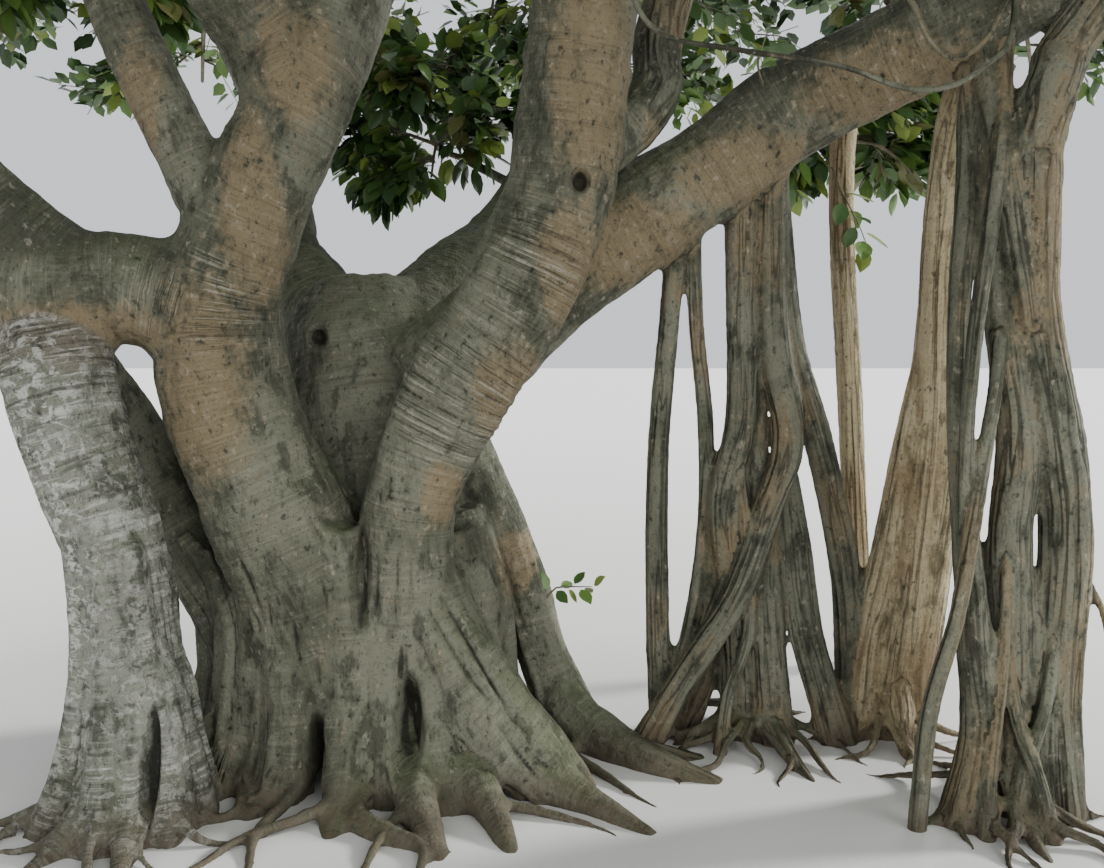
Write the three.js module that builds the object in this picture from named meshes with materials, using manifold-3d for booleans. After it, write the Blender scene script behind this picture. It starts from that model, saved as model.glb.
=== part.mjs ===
// A banyan: a low forked fig with a fluted, buttressed trunk, heavy limbs that spread close to the ground,
// pillar roots that prop those limbs, and a wide crown in separate masses of leaves.
// Millimetres, +Z up. The origin is on the ground under the trunk, and every foot is cut flat there.

import * as THREE from "three";
import { ConvexGeometry } from "three/addons/geometries/ConvexGeometry.js";
import { mergeVertices } from "three/addons/utils/BufferGeometryUtils.js";
import Module from "manifold-3d";

const wasm = await Module();
wasm.setup();

// Fits between neighbours
const JOINT_GAP = 0.3; // air between two pieces of wood that meet
const LEAF_AIR = 25; // least air between a leaf or twig and wood that isn't its own
const CELL_AIR = 12; // least air between a leaf and the next mass's space

// The crown: rings of leaf masses round a centre a little to the right of the trunk
const CROWN_CENTRE = [500, 0];
const OUTER_RING = { count: 9, turn: 0, radius: 4250, height: 4000, size: [1750, 1750, 1250] };
const MIDDLE_RING = { count: 6, turn: 20, radius: 2250, height: 5750, size: [1600, 1600, 1200] };
const TOP_RING = { count: 2, turn: 60, radius: 800, height: 7150, size: [1500, 1500, 1150] };
const LOW_MASSES = {
  low_mass_back: { centre: [20, 1650, 2620], size: [640, 620, 780] },
  low_mass_right: { centre: [2300, 1750, 2560], size: [620, 560, 520] },
  low_mass_left: { centre: [-1150, 250, 3050], size: [560, 520, 560] },
};
const CELL_FLATNESS = 1.35; // how much nearer two masses may stand upwards than sideways
const ENTRY_DEPTH = 0.56; // how far out from a mass's centre its bough stops, as a share of the mass's size

// Sprays of leaves, drawn as single large leaves
const LEAF_LENGTH = 980;
const LOW_LEAF_LENGTH = 330;
const LEAF_WIDTH_SHARE = 0.66;
const LEAF_FOLD_SHARE = 0.07; // how deep the blade is folded at its widest
const LEAF_WIDEST_SHARE = 0.45;
const LEAF_LIFT = 1.1;
const LEAF_ROLL = 2.2;
const LEAF_TRIALS = 6; // ways a leaf may turn, the first that keeps clear of the others is grown
const LEAF_SUNK = 0.4; // how far past its twig's heart a leaf's root is, in the twig's half thickness
const LEAVES_PER_TWIG = { outer_mass: 5, middle_mass: 4, top_mass: 4, low_mass: 3 };

// What the leaves hang on: a mass's stem and the twigs that fork from it
const TWIGS = { count: 6, thick: [24, 13] };
const LOW_TWIGS = { count: 5, thick: [11, 6] };
const TWIG_REACH = 0.66; // how far out the twigs run, as a share of the mass's size
const STEM_RISE = 0.3; // how far over the mass's centre its stem ends, as a share of its height
const STEM_BEND = 0.45;
const STEM_SHARES = [0.8, 0.35]; // the stem's thickness at each end, as a share of its bough's tip

// Colours, each with its roughness
const BARK = new THREE.MeshStandardMaterial({ color: 0x6f6a58, roughness: 0.95, metalness: 0 });
const PALE_BARK = new THREE.MeshStandardMaterial({ color: 0x8a8578, roughness: 0.95, metalness: 0 });
const TAN_BARK = new THREE.MeshStandardMaterial({ color: 0x9b7a4e, roughness: 0.9, metalness: 0 });
const FOLIAGE = new THREE.MeshStandardMaterial({ color: 0x3f5c24, roughness: 0.55, metalness: 0 });

// A run of wood is the way its heart goes, each point with the half thickness there: [x, y, z, r].
// These are the limbs seen from close by; the last point of each is worked out from the mass it carries.
const LIMBS = {
  left_limb: {
    way: [[-60, -180, 250, 300], [-180, -290, 680, 258], [-300, -335, 1000, 232], [-420, -350, 1330, 222],
      [-445, -360, 1660, 205], [-310, -360, 2000, 178], [-160, -350, 2320, 172], [-20, -260, 2680, 158],
      [250, 100, 3900, 118]],
    startsAt: 2, carries: "top_mass_2", tip: 70, steps: 11,
  },
  centre_limb: {
    way: [[120, -300, 200, 230], [169, -350, 563, 168], [200, -360, 986, 160], [340, -360, 1330, 180],
      [555, -360, 1667, 188], [697, -355, 2000, 182], [746, -355, 2325, 182], [788, -380, 2650, 172],
      [900, -700, 3700, 130]],
    startsAt: 2, carries: "middle_mass_5", tip: 75, steps: 11,
  },
  right_limb: {
    way: [[250, -60, 1350, 230], [600, -100, 1680, 200], [1209, -100, 2109, 172], [1548, -160, 2351, 170],
      [2007, -400, 2560, 158], [2700, -620, 2900, 135]],
    carries: "outer_mass_1", tip: 85, steps: 10,
  },
  long_left_limb: {
    way: [[-420, -360, 1620, 190], [-712, -430, 1698, 185], [-1103, -500, 1727, 178],
      [-1900, -300, 2000, 150]],
    carries: "outer_mass_5", tip: 80, steps: 8,
  },
  left_fork_limb: {
    way: [[-850, -460, 1720, 150], [-1067, -560, 1928, 132], [-1700, -850, 2600, 110]],
    carries: "outer_mass_6", tip: 70, steps: 6,
  },
  left_upright: {
    way: [[-380, -360, 1880, 115], [-471, -380, 2029, 108], [-737, -400, 2632, 96], [-1100, -350, 3700, 82]],
    carries: "middle_mass_4", tip: 60, steps: 7,
  },
  front_left_limb: {
    way: [[-160, -350, 2320, 162], [-330, -460, 2630, 142], [-650, -1100, 3150, 118]],
    carries: "outer_mass_7", tip: 75, steps: 7,
  },
  back_limb: {
    way: [[60, 150, 1400, 270], [250, 420, 1680, 225], [520, 950, 2020, 190], [800, 1900, 2750, 145]],
    carries: "outer_mass_3", tip: 80, steps: 7,
  },
  back_left_limb: {
    way: [[-80, 150, 1400, 230], [-350, 600, 1700, 185], [-560, 950, 1960, 160], [-800, 1800, 2650, 130]],
    carries: "outer_mass_4", tip: 75, steps: 7,
  },
  back_right_limb: {
    way: [[1300, -100, 2160, 130], [1620, 400, 2430, 115], [2010, 900, 2700, 105], [2700, 1500, 3400, 90]],
    carries: "outer_mass_2", tip: 65, steps: 7,
  },
  centre_side_limb: {
    way: [[735, -330, 2080, 105], [1024, -150, 2370, 92], [1089, -100, 2724, 86], [1500, 250, 3900, 72]],
    carries: "middle_mass_1", tip: 58, steps: 7,
  },
  right_upright: {
    way: [[2180, -590, 2120, 86], [2225, -600, 2330, 84], [2332, -620, 2534, 80], [2750, -1200, 3250, 74]],
    carries: "outer_mass_9", tip: 60, steps: 7,
  },
};

// Boughs that fork from a limb at a share of its way, to carry the masses that no limb ends in
const BOUGHS = {
  front_bough: { from: "centre_limb", at: 0.74, carries: "outer_mass_8", thick: 92 },
  middle_back_bough: { from: "back_limb", at: 0.62, carries: "middle_mass_2", thick: 80 },
  middle_left_bough: { from: "back_left_limb", at: 0.62, carries: "middle_mass_3", thick: 78 },
  middle_right_bough: { from: "right_limb", at: 0.78, carries: "middle_mass_6", thick: 84 },
  top_bough: { from: "centre_limb", at: 0.86, carries: "top_mass_1", thick: 72 },
  low_back_bough: { from: "back_limb", at: 0.55, carries: "low_mass_back", thick: 34 },
  low_right_bough: { from: "back_right_limb", at: 0.42, carries: "low_mass_right", thick: 30 },
  low_left_bough: { from: "left_upright", at: 0.6, carries: "low_mass_left", thick: 26 },
};

// The trunk below its fork: a hollowed back, two legs at the right and the roots that run out on the ground
const TRUNK_RUNS = {
  back: [[40, 80, -60, 430], [40, 110, 600, 365], [0, 150, 1200, 350], [-50, 200, 1560, 310],
    [-60, 220, 1760, 190]],
  backLeg: [[800, 0, -40, 130], [640, 40, 330, 100], [540, 50, 690, 92], [405, 50, 998, 104],
    [250, 60, 1280, 120]],
  lump: [[420, -90, 180, 110], [400, -100, 560, 122], [330, -60, 900, 88]],
  frontLeg: [[760, -470, -60, 120], [560, -430, 150, 150], [350, -390, 400, 172], [200, -340, 700, 150]],
};
const GROUND_ROOTS = {
  right: [[1270, -400, -25, 40], [1050, -290, 20, 62], [860, -120, 60, 92], [700, -20, 170, 90]],
  rightFork: [[1240, -180, -25, 34], [1060, -200, 15, 48], [930, -170, 40, 60]],
  frontRight: [[1000, -780, -25, 32], [820, -620, 20, 52], [600, -480, 70, 80]],
  front: [[560, -900, -25, 32], [500, -720, 20, 52], [400, -520, 90, 90]],
};
const TRUNK_FLARE = {
  centre: [20, -60], bearings: [208, 240, 266, 292, 60, 110, 160],
  reach: 740, rise: 760, heart: 370, thick: 122, seed: 11,
};

// Pillar roots: strands that have grown together between a spread foot and the limb they hang from
const PILLARS = {
  left_pillar: {
    runs: [
      [[-650, -640, -60, 255], [-650, -620, 240, 190], [-680, -600, 530, 158], [-718, -580, 825, 155],
        [-850, -565, 1240, 168], [-920, -540, 1500, 178], [-960, -520, 1660, 120]],
      [[-520, -660, -40, 130], [-560, -660, 260, 105], [-640, -640, 620, 80]],
    ],
    flare: {
      centre: [-650, -640], bearings: [195, 240, 285],
      reach: 390, rise: 420, heart: 150, thick: 80, seed: 21,
    },
    bark: PALE_BARK,
  },
  strut_root: {
    runs: [
      [[-454, -330, -60, 150], [-430, -210, 400, 128], [-606, -150, 731, 138], [-789, -130, 1059, 130],
        [-930, -250, 1400, 112], [-1020, -420, 1640, 100]],
      [[-600, -230, -40, 80], [-540, -190, 380, 78], [-560, -160, 640, 80]],
    ],
    bark: BARK,
  },
  middle_pillar: {
    runs: [
      [[1120, 60, -40, 60], [1090, 70, 480, 50], [1085, 50, 1100, 44], [1115, -30, 1640, 40],
        [1140, -90, 2070, 46]],
      [[1080, 20, -40, 50], [1205, 40, 390, 34], [1262, 40, 780, 33], [1262, 30, 1195, 33],
        [1212, -30, 1600, 30], [1180, -90, 2080, 34]],
      [[1830, 60, -40, 90], [1840, 50, 300, 66], [1795, 50, 720, 60], [1690, 40, 1157, 56],
        [1570, 20, 1560, 52], [1480, -60, 2180, 50]],
      [[1400, 40, -40, 86], [1400, 30, 300, 70], [1360, 10, 640, 62], [1330, -10, 930, 62],
        [1385, -20, 1240, 60], [1372, -40, 1680, 56], [1355, -90, 2200, 62]],
      [[1010, -60, -40, 70], [1170, -70, 250, 56], [1370, -80, 582, 52], [1490, -70, 929, 56],
        [1560, -40, 1180, 62], [1490, -30, 1600, 58], [1470, -90, 2260, 62]],
      [[1540, -20, -40, 84], [1515, -30, 250, 70], [1492, -20, 560, 60], [1480, 20, 853, 56],
        [1440, 40, 1200, 56], [1450, 20, 1680, 50], [1430, -70, 2200, 56]],
      [[1790, -20, -40, 80], [1720, -30, 180, 72], [1640, -20, 466, 66], [1605, 10, 776, 62],
        [1560, 40, 1060, 50]],
      [[1170, 100, -40, 66], [1250, 90, 150, 62], [1300, 70, 420, 58], [1290, 50, 776, 52],
        [1330, 30, 1060, 50]],
      [[1560, 230, -40, 84], [1540, 180, 300, 70], [1490, 130, 800, 60], [1450, 90, 1300, 56],
        [1420, -30, 2150, 58]],
    ],
    flare: {
      centre: [1480, 60], bearings: [205, 285],
      reach: 400, rise: 340, heart: 100, thick: 56, seed: 33,
    },
    bark: BARK,
  },
  straight_pillar: {
    runs: [
      [[2135, 900, -40, 72], [2117, 900, 320, 64], [2050, 900, 1300, 60], [1990, 900, 2120, 58],
        [2000, 900, 2620, 62]],
    ],
    bark: TAN_BARK,
  },
  tan_pillar: {
    runs: [
      [[1960, 60, -40, 96], [1995, 40, 160, 84], [2030, 20, 500, 74], [2060, 0, 900, 66],
        [2085, -20, 1350, 56], [2075, -60, 1870, 54], [2070, -180, 2270, 56], [2085, -330, 2500, 58]],
      [[2100, 60, -40, 80], [2120, 40, 390, 70], [2160, 20, 860, 62], [2180, -10, 1310, 56],
        [2160, -50, 1870, 50], [2135, -190, 2270, 50], [2120, -330, 2500, 52]],
      [[1850, 40, -40, 74], [1880, 30, 350, 62], [1945, 20, 700, 54], [2005, 0, 1150, 44],
        [2060, 0, 1500, 26]],
      [[2010, 170, -40, 90], [2030, 140, 500, 76], [2080, 90, 1000, 60], [2110, 0, 1900, 50],
        [2100, -260, 2440, 52]],
    ],
    flare: {
      centre: [2010, 50], bearings: [200, 270],
      reach: 300, rise: 420, heart: 70, thick: 60, seed: 43,
    },
    bark: TAN_BARK,
  },
  right_pillar: {
    runs: [
      [[2330, -640, -40, 100], [2310, -610, 370, 80], [2330, -600, 870, 86], [2290, -595, 1230, 82],
        [2200, -590, 1650, 80], [2180, -590, 2120, 86]],
      [[2180, -600, -40, 96], [2185, -600, 400, 74], [2150, -600, 900, 70], [2160, -595, 1250, 66],
        [2095, -585, 1640, 56], [2072, -540, 2050, 50], [2080, -460, 2480, 52]],
      [[1980, -700, -40, 84], [2045, -680, 290, 62], [2015, -670, 620, 56], [1985, -650, 960, 44],
        [2010, -620, 1180, 34]],
      [[2150, -480, -40, 90], [2120, -480, 400, 66], [2040, -540, 800, 46], [1990, -560, 1250, 40],
        [1975, -560, 1650, 38], [2000, -530, 2050, 40], [2025, -440, 2480, 44]],
      [[1960, -720, 900, 26], [1942, -740, 1250, 25], [1960, -735, 1560, 26], [2004, -700, 1850, 28],
        [2060, -620, 2120, 30], [2110, -500, 2500, 34]],
      [[1830, -740, -40, 34], [1852, -760, 380, 30], [1925, -760, 680, 27], [1960, -755, 930, 28],
        [2000, -735, 1180, 26], [2045, -690, 1380, 24], [2075, -630, 1560, 26]],
      [[2170, -620, 1560, 52], [2110, -620, 1930, 56], [2075, -560, 2200, 58], [2060, -460, 2480, 60]],
    ],
    flare: {
      centre: [2150, -590], bearings: [205, 275],
      reach: 340, rise: 400, heart: 90, thick: 56, seed: 53,
    },
    bark: BARK,
  },
  hanging_root: {
    runs: [
      [[2540, -640, -40, 20], [2520, -640, 240, 14], [2460, -625, 620, 13], [2400, -610, 760, 15],
        [2340, -605, 860, 24]],
    ],
    bark: TAN_BARK,
  },
};
const UP = new THREE.Vector3(0, 0, 1);
const FOOT_CUT = 400; // depth of the block that cuts every foot flat at the ground
const STOUT = 100; // a run is made rounder where its half thickness is over this

// Numbers between 0 and 1 that are the same on every run
function seeded(seed) {
  let state = seed * 7919 + 13;
  return () => {
    state = (state * 16807) % 2147483647;
    return state / 2147483647;
  };
}

function toRadians(degrees) {
  return (degrees * Math.PI) / 180;
}

// The smooth heart line through a way's points, with the half thickness along it
function heartOf(way) {
  const points = way.map(([x, y, z]) => new THREE.Vector3(x, y, z));
  const line = new THREE.CatmullRomCurve3(points, false, "catmullrom", 0.5);
  const last = way.length - 1;
  const thick = (share) => {
    const place = Math.min(Math.max(share, 0), 1) * last;
    const k = Math.min(Math.floor(place), last - 1);
    return THREE.MathUtils.lerp(way[k][3], way[k + 1][3], place - k);
  };
  return { line, thick, last };
}

// A geometry as a solid for cutting and joining
function solidOf(geometry) {
  const bare = geometry.clone();
  bare.deleteAttribute("normal");
  bare.deleteAttribute("uv");
  const merged = mergeVertices(bare, 1e-3);
  const triVerts = new Uint32Array(merged.index.array);
  return new wasm.Manifold(
    new wasm.Mesh({ numProp: 3, vertProperties: merged.getAttribute("position").array, triVerts }),
  );
}

function geometryOf(solid) {
  const { vertProperties, triVerts } = solid.getMesh();
  return new THREE.BufferGeometry()
    .setAttribute("position", new THREE.BufferAttribute(vertProperties, 3))
    .setIndex(new THREE.BufferAttribute(triVerts, 1));
}

// A closed tapering tube round a heart line; spare makes it that much larger all round, for cutting
function tube(heart, { from = 0, to = 1, sides = 8, steps = 6, spare = 0 } = {}) {
  const shape = new THREE.CylinderGeometry(1, 1, 1, sides, steps).rotateX(Math.PI / 2);
  const place = shape.getAttribute("position");
  const turn = new THREE.Quaternion();
  const point = new THREE.Vector3();
  for (let i = 0; i < place.count; i++) {
    point.fromBufferAttribute(place, i);
    const along = Math.round((point.z + 0.5) * steps) / steps;
    const share = THREE.MathUtils.lerp(from, to, along);
    const tangent = heart.line.getTangent(share);
    const radius = heart.thick(share) + spare;
    point.set(point.x * radius, point.y * radius, 0).applyQuaternion(turn.setFromUnitVectors(UP, tangent));
    if (along === 0) point.addScaledVector(tangent, -spare);
    if (along === 1) point.addScaledVector(tangent, spare);
    point.add(heart.line.getPoint(share));
    place.setXYZ(i, point.x, point.y, point.z);
  }
  return solidOf(shape);
}

// The largest connected body of a solid; loose scraps are dropped
function largestBody(solid) {
  return solid.decompose().reduce((best, body) => (body.volume() > best.volume() ? body : best));
}

const belowGround = solidOf(new THREE.BoxGeometry(20000, 20000, FOOT_CUT).translate(0, 0, -FOOT_CUT / 2));

// Where the masses of leaves are: rings of them, with a little seeded unevenness, and the low ones
const random = seeded(5);
const masses = {};
function addRing(name, ring) {
  for (let k = 0; k < ring.count; k++) {
    const bearing = toRadians(ring.turn + (360 / ring.count) * k + 8 * (random() - 0.5));
    const radius = ring.radius * (1 + 0.08 * (random() - 0.5));
    const centre = [
      CROWN_CENTRE[0] + radius * Math.cos(bearing),
      CROWN_CENTRE[1] + radius * Math.sin(bearing),
      ring.height + 500 * (random() - 0.5),
    ];
    const scale = 1 + 0.12 * (random() - 0.5);
    masses[`${name}_${k + 1}`] = { centre, size: ring.size.map((s) => s * scale) };
  }
}
addRing("outer_mass", OUTER_RING);
addRing("middle_mass", MIDDLE_RING);
addRing("top_mass", TOP_RING);
Object.assign(masses, LOW_MASSES);
for (const [name, mass] of Object.entries(masses)) {
  const low = name in LOW_MASSES;
  const kind = name.split("_").slice(0, 2).join("_");
  Object.assign(mass, {
    twigs: low ? LOW_TWIGS : TWIGS,
    leafLength: low ? LOW_LEAF_LENGTH : LEAF_LENGTH,
    leavesPerTwig: LEAVES_PER_TWIG[kind],
  });
}

// The point where wood that comes from a given point stops inside a mass
function entryPoint(mass, comingFrom) {
  const centre = new THREE.Vector3(...mass.centre);
  const out = new THREE.Vector3(...comingFrom).sub(centre).divide(new THREE.Vector3(...mass.size));
  out.setLength(ENTRY_DEPTH).multiply(new THREE.Vector3(...mass.size));
  return centre.add(out);
}

// All wood as named runs of heart lines
const wood = {};
for (const [name, limb] of Object.entries(LIMBS)) {
  const mass = masses[limb.carries];
  const entry = entryPoint(mass, limb.way.at(-1).slice(0, 3));
  const heart = heartOf([...limb.way, [entry.x, entry.y, entry.z, limb.tip]]);
  const from = (limb.startsAt ?? 0) / heart.last;
  const sides = limb.way.at(-1)[3] > STOUT ? 8 : 6;
  wood[name] = { bark: BARK, runs: [{ heart, from, sides, steps: limb.steps }] };
  mass.carrier = heart;
}
for (const [name, bough] of Object.entries(BOUGHS)) {
  const mass = masses[bough.carries];
  const parent = wood[bough.from].runs[0].heart;
  const start = parent.line.getPoint(bough.at);
  const entry = entryPoint(mass, start.toArray());
  const reach = start.distanceTo(entry);
  const bend = start.clone().addScaledVector(parent.line.getTangent(bough.at), 0.3 * reach);
  const middle = start.clone().lerp(entry, 0.5).lerp(bend, 0.45);
  const heart = heartOf([
    [...start.toArray(), bough.thick],
    [...middle.toArray(), bough.thick * 0.84],
    [...entry.toArray(), bough.thick * 0.62],
  ]);
  wood[name] = { bark: BARK, runs: [{ heart, sides: 6, steps: 4 }] };
  mass.carrier = heart;
}

// Buttress roots round a foot, each from the ground up into the wood
function flareRuns({ centre, bearings, reach, rise, heart, thick, seed }) {
  const next = seeded(seed);
  return bearings.map((degrees) => {
    const bearing = toRadians(degrees + 10 * (next() - 0.5));
    const out = reach * (0.82 + 0.36 * next());
    const top = rise * (0.75 + 0.5 * next());
    const girth = thick * (0.8 + 0.4 * next());
    const way = [Math.cos(bearing), Math.sin(bearing)];
    const at = (radius, z, r) => [centre[0] + radius * way[0], centre[1] + radius * way[1], z, r];
    return {
      heart: heartOf([
        at(out * 1.1, -girth * 0.35, girth * 0.32),
        at(THREE.MathUtils.lerp(out, heart, 0.38), rise * 0.05, girth * 0.55),
        at(heart * 1.1, rise * 0.32, girth * 0.9),
        at(heart * 0.55, top, girth * 0.5),
      ]),
      sides: 5,
      steps: 2,
    };
  });
}

for (const [name, pillar] of Object.entries(PILLARS)) {
  const runs = pillar.runs.map((way) => {
    const sides = way[0][3] > STOUT ? 7 : 5;
    return { heart: heartOf(way), sides, steps: way.length - 1 };
  });
  if (pillar.flare) runs.push(...flareRuns(pillar.flare));
  wood[name] = { bark: pillar.bark, runs };
}

const trunkStubs = ["left_limb", "centre_limb"].map((name) => {
  const { heart, from } = wood[name].runs[0];
  return { heart, to: from, sides: 8, steps: 2 };
});
const trunkRuns = Object.values(TRUNK_RUNS).map((way) => ({ heart: heartOf(way), sides: 8, steps: 4 }));
const rootRuns = Object.values(GROUND_ROOTS).map((way) => ({ heart: heartOf(way), sides: 5, steps: 3 }));
const trunk = { bark: BARK, runs: [...trunkStubs, ...trunkRuns, ...rootRuns, ...flareRuns(TRUNK_FLARE)] };

// Joins a piece of wood's runs, larger all round by spare
function joinRuns(piece, spare = 0) {
  return wasm.Manifold.union(piece.runs.map(({ heart, ...shape }) => tube(heart, { ...shape, spare })));
}

// Cuts each piece clear of the pieces before it, and its foot flat at the ground
const built = [];
for (const [name, piece] of Object.entries({ trunk, ...wood })) {
  let solid = joinRuns(piece).subtract(belowGround);
  for (const other of built) {
    if (solid.intersect(other.grown).isEmpty()) continue;
    solid = solid.subtract(other.grown);
  }
  built.push({ name, bark: piece.bark, solid: largestBody(solid), grown: joinRuns(piece, JOINT_GAP) });
}

// Places along all wood, for keeping leaves clear of it
const woodPlaces = Object.values({ trunk, ...wood }).flatMap((piece) =>
  piece.runs.flatMap(({ heart, from = 0, to = 1 }) => {
    const count = Math.ceil((heart.line.getLength() * (to - from)) / 90);
    return Array.from({ length: count + 1 }, (_, i) => {
      const share = from + ((to - from) * i) / count;
      return { point: heart.line.getPoint(share), radius: heart.thick(share) };
    });
  }),
);

function clearOfWood(point, reach) {
  return woodPlaces.every((place) => place.point.distanceTo(point) > place.radius + reach + LEAF_AIR);
}

// True where a point is inside a mass's own space, and nearer to it than to any other mass
function inSpace(mass, point) {
  const [x, y, z] = point.toArray();
  const own = mass.centre;
  const inside = ((x - own[0]) / mass.size[0]) ** 2 + ((y - own[1]) / mass.size[1]) ** 2
    + ((z - own[2]) / mass.size[2]) ** 2;
  if (inside > 1) return false;
  const power = ({ centre, size }) =>
    (x - centre[0]) ** 2 + (y - centre[1]) ** 2 + (CELL_FLATNESS * (z - centre[2])) ** 2 - size[0] ** 2;
  const mine = power(mass);
  return Object.values(masses).every(
    (other) => other === mass || mine + 2 * CELL_AIR * mass.size[0] < power(other),
  );
}

// A direction spread evenly over a ball, the k-th of a count, turned by a seeded start
function evenDirection(k, count, start) {
  const height = 0.92 - (1.62 * (k + 0.5)) / count;
  const bearing = start + k * 2.39996;
  const flat = Math.sqrt(1 - height * height);
  return new THREE.Vector3(flat * Math.cos(bearing), flat * Math.sin(bearing), height);
}

// One leaf: a rhomb folded along its midrib, with its root in its twig
function leafSolid({ root, along, across, length }) {
  const flat = new THREE.Vector3().crossVectors(along, across).normalize();
  const tip = root.clone().addScaledVector(along, length);
  const widest = root.clone().lerp(tip, LEAF_WIDEST_SHARE).addScaledVector(flat, -LEAF_FOLD_SHARE * length);
  const rims = [-0.5, 0.5].map((side) =>
    widest.clone().addScaledVector(across, side * LEAF_WIDTH_SHARE * length));
  return solidOf(new ConvexGeometry([root, tip, ...rims]));
}

function wayBetween(start, bend, end, thick) {
  return heartOf([
    [...start.toArray(), thick[0]],
    [...bend.toArray(), (thick[0] + thick[1]) / 2],
    [...end.toArray(), thick[1]],
  ]);
}

// A mass's stem, which runs on from its bough up into the mass
function stemOf(mass) {
  const { line, thick } = mass.carrier;
  const heading = line.getTangent(1);
  const start = line.getPoint(1).addScaledVector(heading, JOINT_GAP);
  const end = new THREE.Vector3(...mass.centre);
  end.z += STEM_RISE * mass.size[2];
  const bend = start.clone().addScaledVector(heading, STEM_BEND * start.distanceTo(end));
  return wayBetween(start, bend, end, STEM_SHARES.map((share) => share * thick(1)));
}

// A mass's twigs: each forks from the stem and runs out to its own side, unless it would touch a limb
function twigsOf(mass, stem, next) {
  const { count, thick } = mass.twigs;
  const centre = new THREE.Vector3(...mass.centre);
  const size = new THREE.Vector3(...mass.size);
  const turn = next() * Math.PI * 2;
  const twigs = Array.from({ length: count }, (_, k) => {
    const root = stem.line.getPoint(0.35 + (0.6 * (count - 1 - k)) / count);
    const reach = TWIG_REACH + 0.1 * next();
    const end = evenDirection(k, count, turn).multiply(size).multiplyScalar(reach).add(centre);
    const middle = root.clone().lerp(end, 0.5);
    middle.z += size.z * (0.05 + 0.12 * next());
    return wayBetween(root, middle, end, thick);
  });
  return twigs.filter(({ line }) =>
    [0.35, 0.6, 0.85, 1].every((share) => clearOfWood(line.getPoint(share), thick[0])));
}

// The ways that the j-th leaf of a twig may turn: to one side and the other by turns, the last at its tip
function leafTrials(mass, twig, j, next) {
  const count = mass.leavesPerTwig;
  const last = j === count - 1;
  const share = last ? 0.97 : 0.3 + (0.64 * (j + 0.3 * next())) / (count - 1);
  const hold = twig.line.getPoint(share);
  const onward = twig.line.getTangent(share);
  const sideways = new THREE.Vector3().crossVectors(onward, UP).normalize();
  return Array.from({ length: LEAF_TRIALS }, () => {
    const sway = last ? 0.5 * (next() - 0.5) : (j % 2 ? 1 : -1) * (0.6 + 0.8 * next());
    const along = onward.clone().multiplyScalar(0.7).addScaledVector(sideways, sway);
    along.z += LEAF_LIFT * (next() - 0.5);
    along.normalize();
    const across = new THREE.Vector3().crossVectors(along, UP).normalize();
    across.applyAxisAngle(along, LEAF_ROLL * (next() - 0.5));
    const length = mass.leafLength * (0.85 + 0.3 * next());
    const root = hold.clone().addScaledVector(along, -LEAF_SUNK * twig.thick(share));
    return { root, along, across, length };
  });
}

// True where a leaf stays in its mass's space and clear of the wood
function leafFits(mass, { root, along, across, length }) {
  const places = [0.25, 0.5, 0.75, 1].map((share) => root.clone().addScaledVector(along, share * length));
  const rims = [-0.5, 0.5].map((side) =>
    places[1].clone().addScaledVector(across, side * length * LEAF_WIDTH_SHARE));
  return [...places, ...rims].every((place) => inSpace(mass, place) && clearOfWood(place, length * 0.1));
}

// A mass of leaves: a stem, its twigs and their leaves, each leaf clear of all but its own twig
function growMass(mass, seed) {
  const next = seeded(seed);
  const stem = stemOf(mass);
  const hearts = twigsOf(mass, stem, next);
  const twigs = hearts.map((heart) => tube(heart, { sides: 3, steps: 2 }));
  const wooden = [tube(stem, { sides: 4, steps: 2 }), ...twigs];
  const leaves = [];
  hearts.forEach((heart, k) => {
    const others = wooden.filter((piece, i) => i !== k + 1);
    for (let j = 0; j < mass.leavesPerTwig; j++) {
      const trials = leafTrials(mass, heart, j, next).filter((trial) => leafFits(mass, trial));
      const free = trials.map(leafSolid).find((leaf) =>
        [...others, ...leaves].every((other) => leaf.intersect(other).isEmpty()));
      if (free) leaves.push(free);
    }
  });
  return largestBody(wasm.Manifold.union([...wooden, ...leaves]));
}

const banyan = new THREE.Group();
function addNode(name, solid, material) {
  const mesh = new THREE.Mesh(geometryOf(solid), material);
  mesh.name = name;
  banyan.add(mesh);
}

for (const { name, bark, solid } of built) addNode(name, solid, bark);
Object.entries(masses).forEach(([name, mass], k) => {
  let solid = growMass(mass, 100 + k);
  for (const piece of built) {
    if (!solid.intersect(piece.grown).isEmpty()) solid = largestBody(solid.subtract(piece.grown));
  }
  addNode(name, solid, FOLIAGE);
});

export default banyan;
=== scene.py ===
# A banyan: a low forked fig with a fluted trunk, heavy limbs spread close to the ground,
# pillar roots that prop those limbs, and a wide crown in separate masses of leaves.
# Metres, +Z up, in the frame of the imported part.

import math

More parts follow.
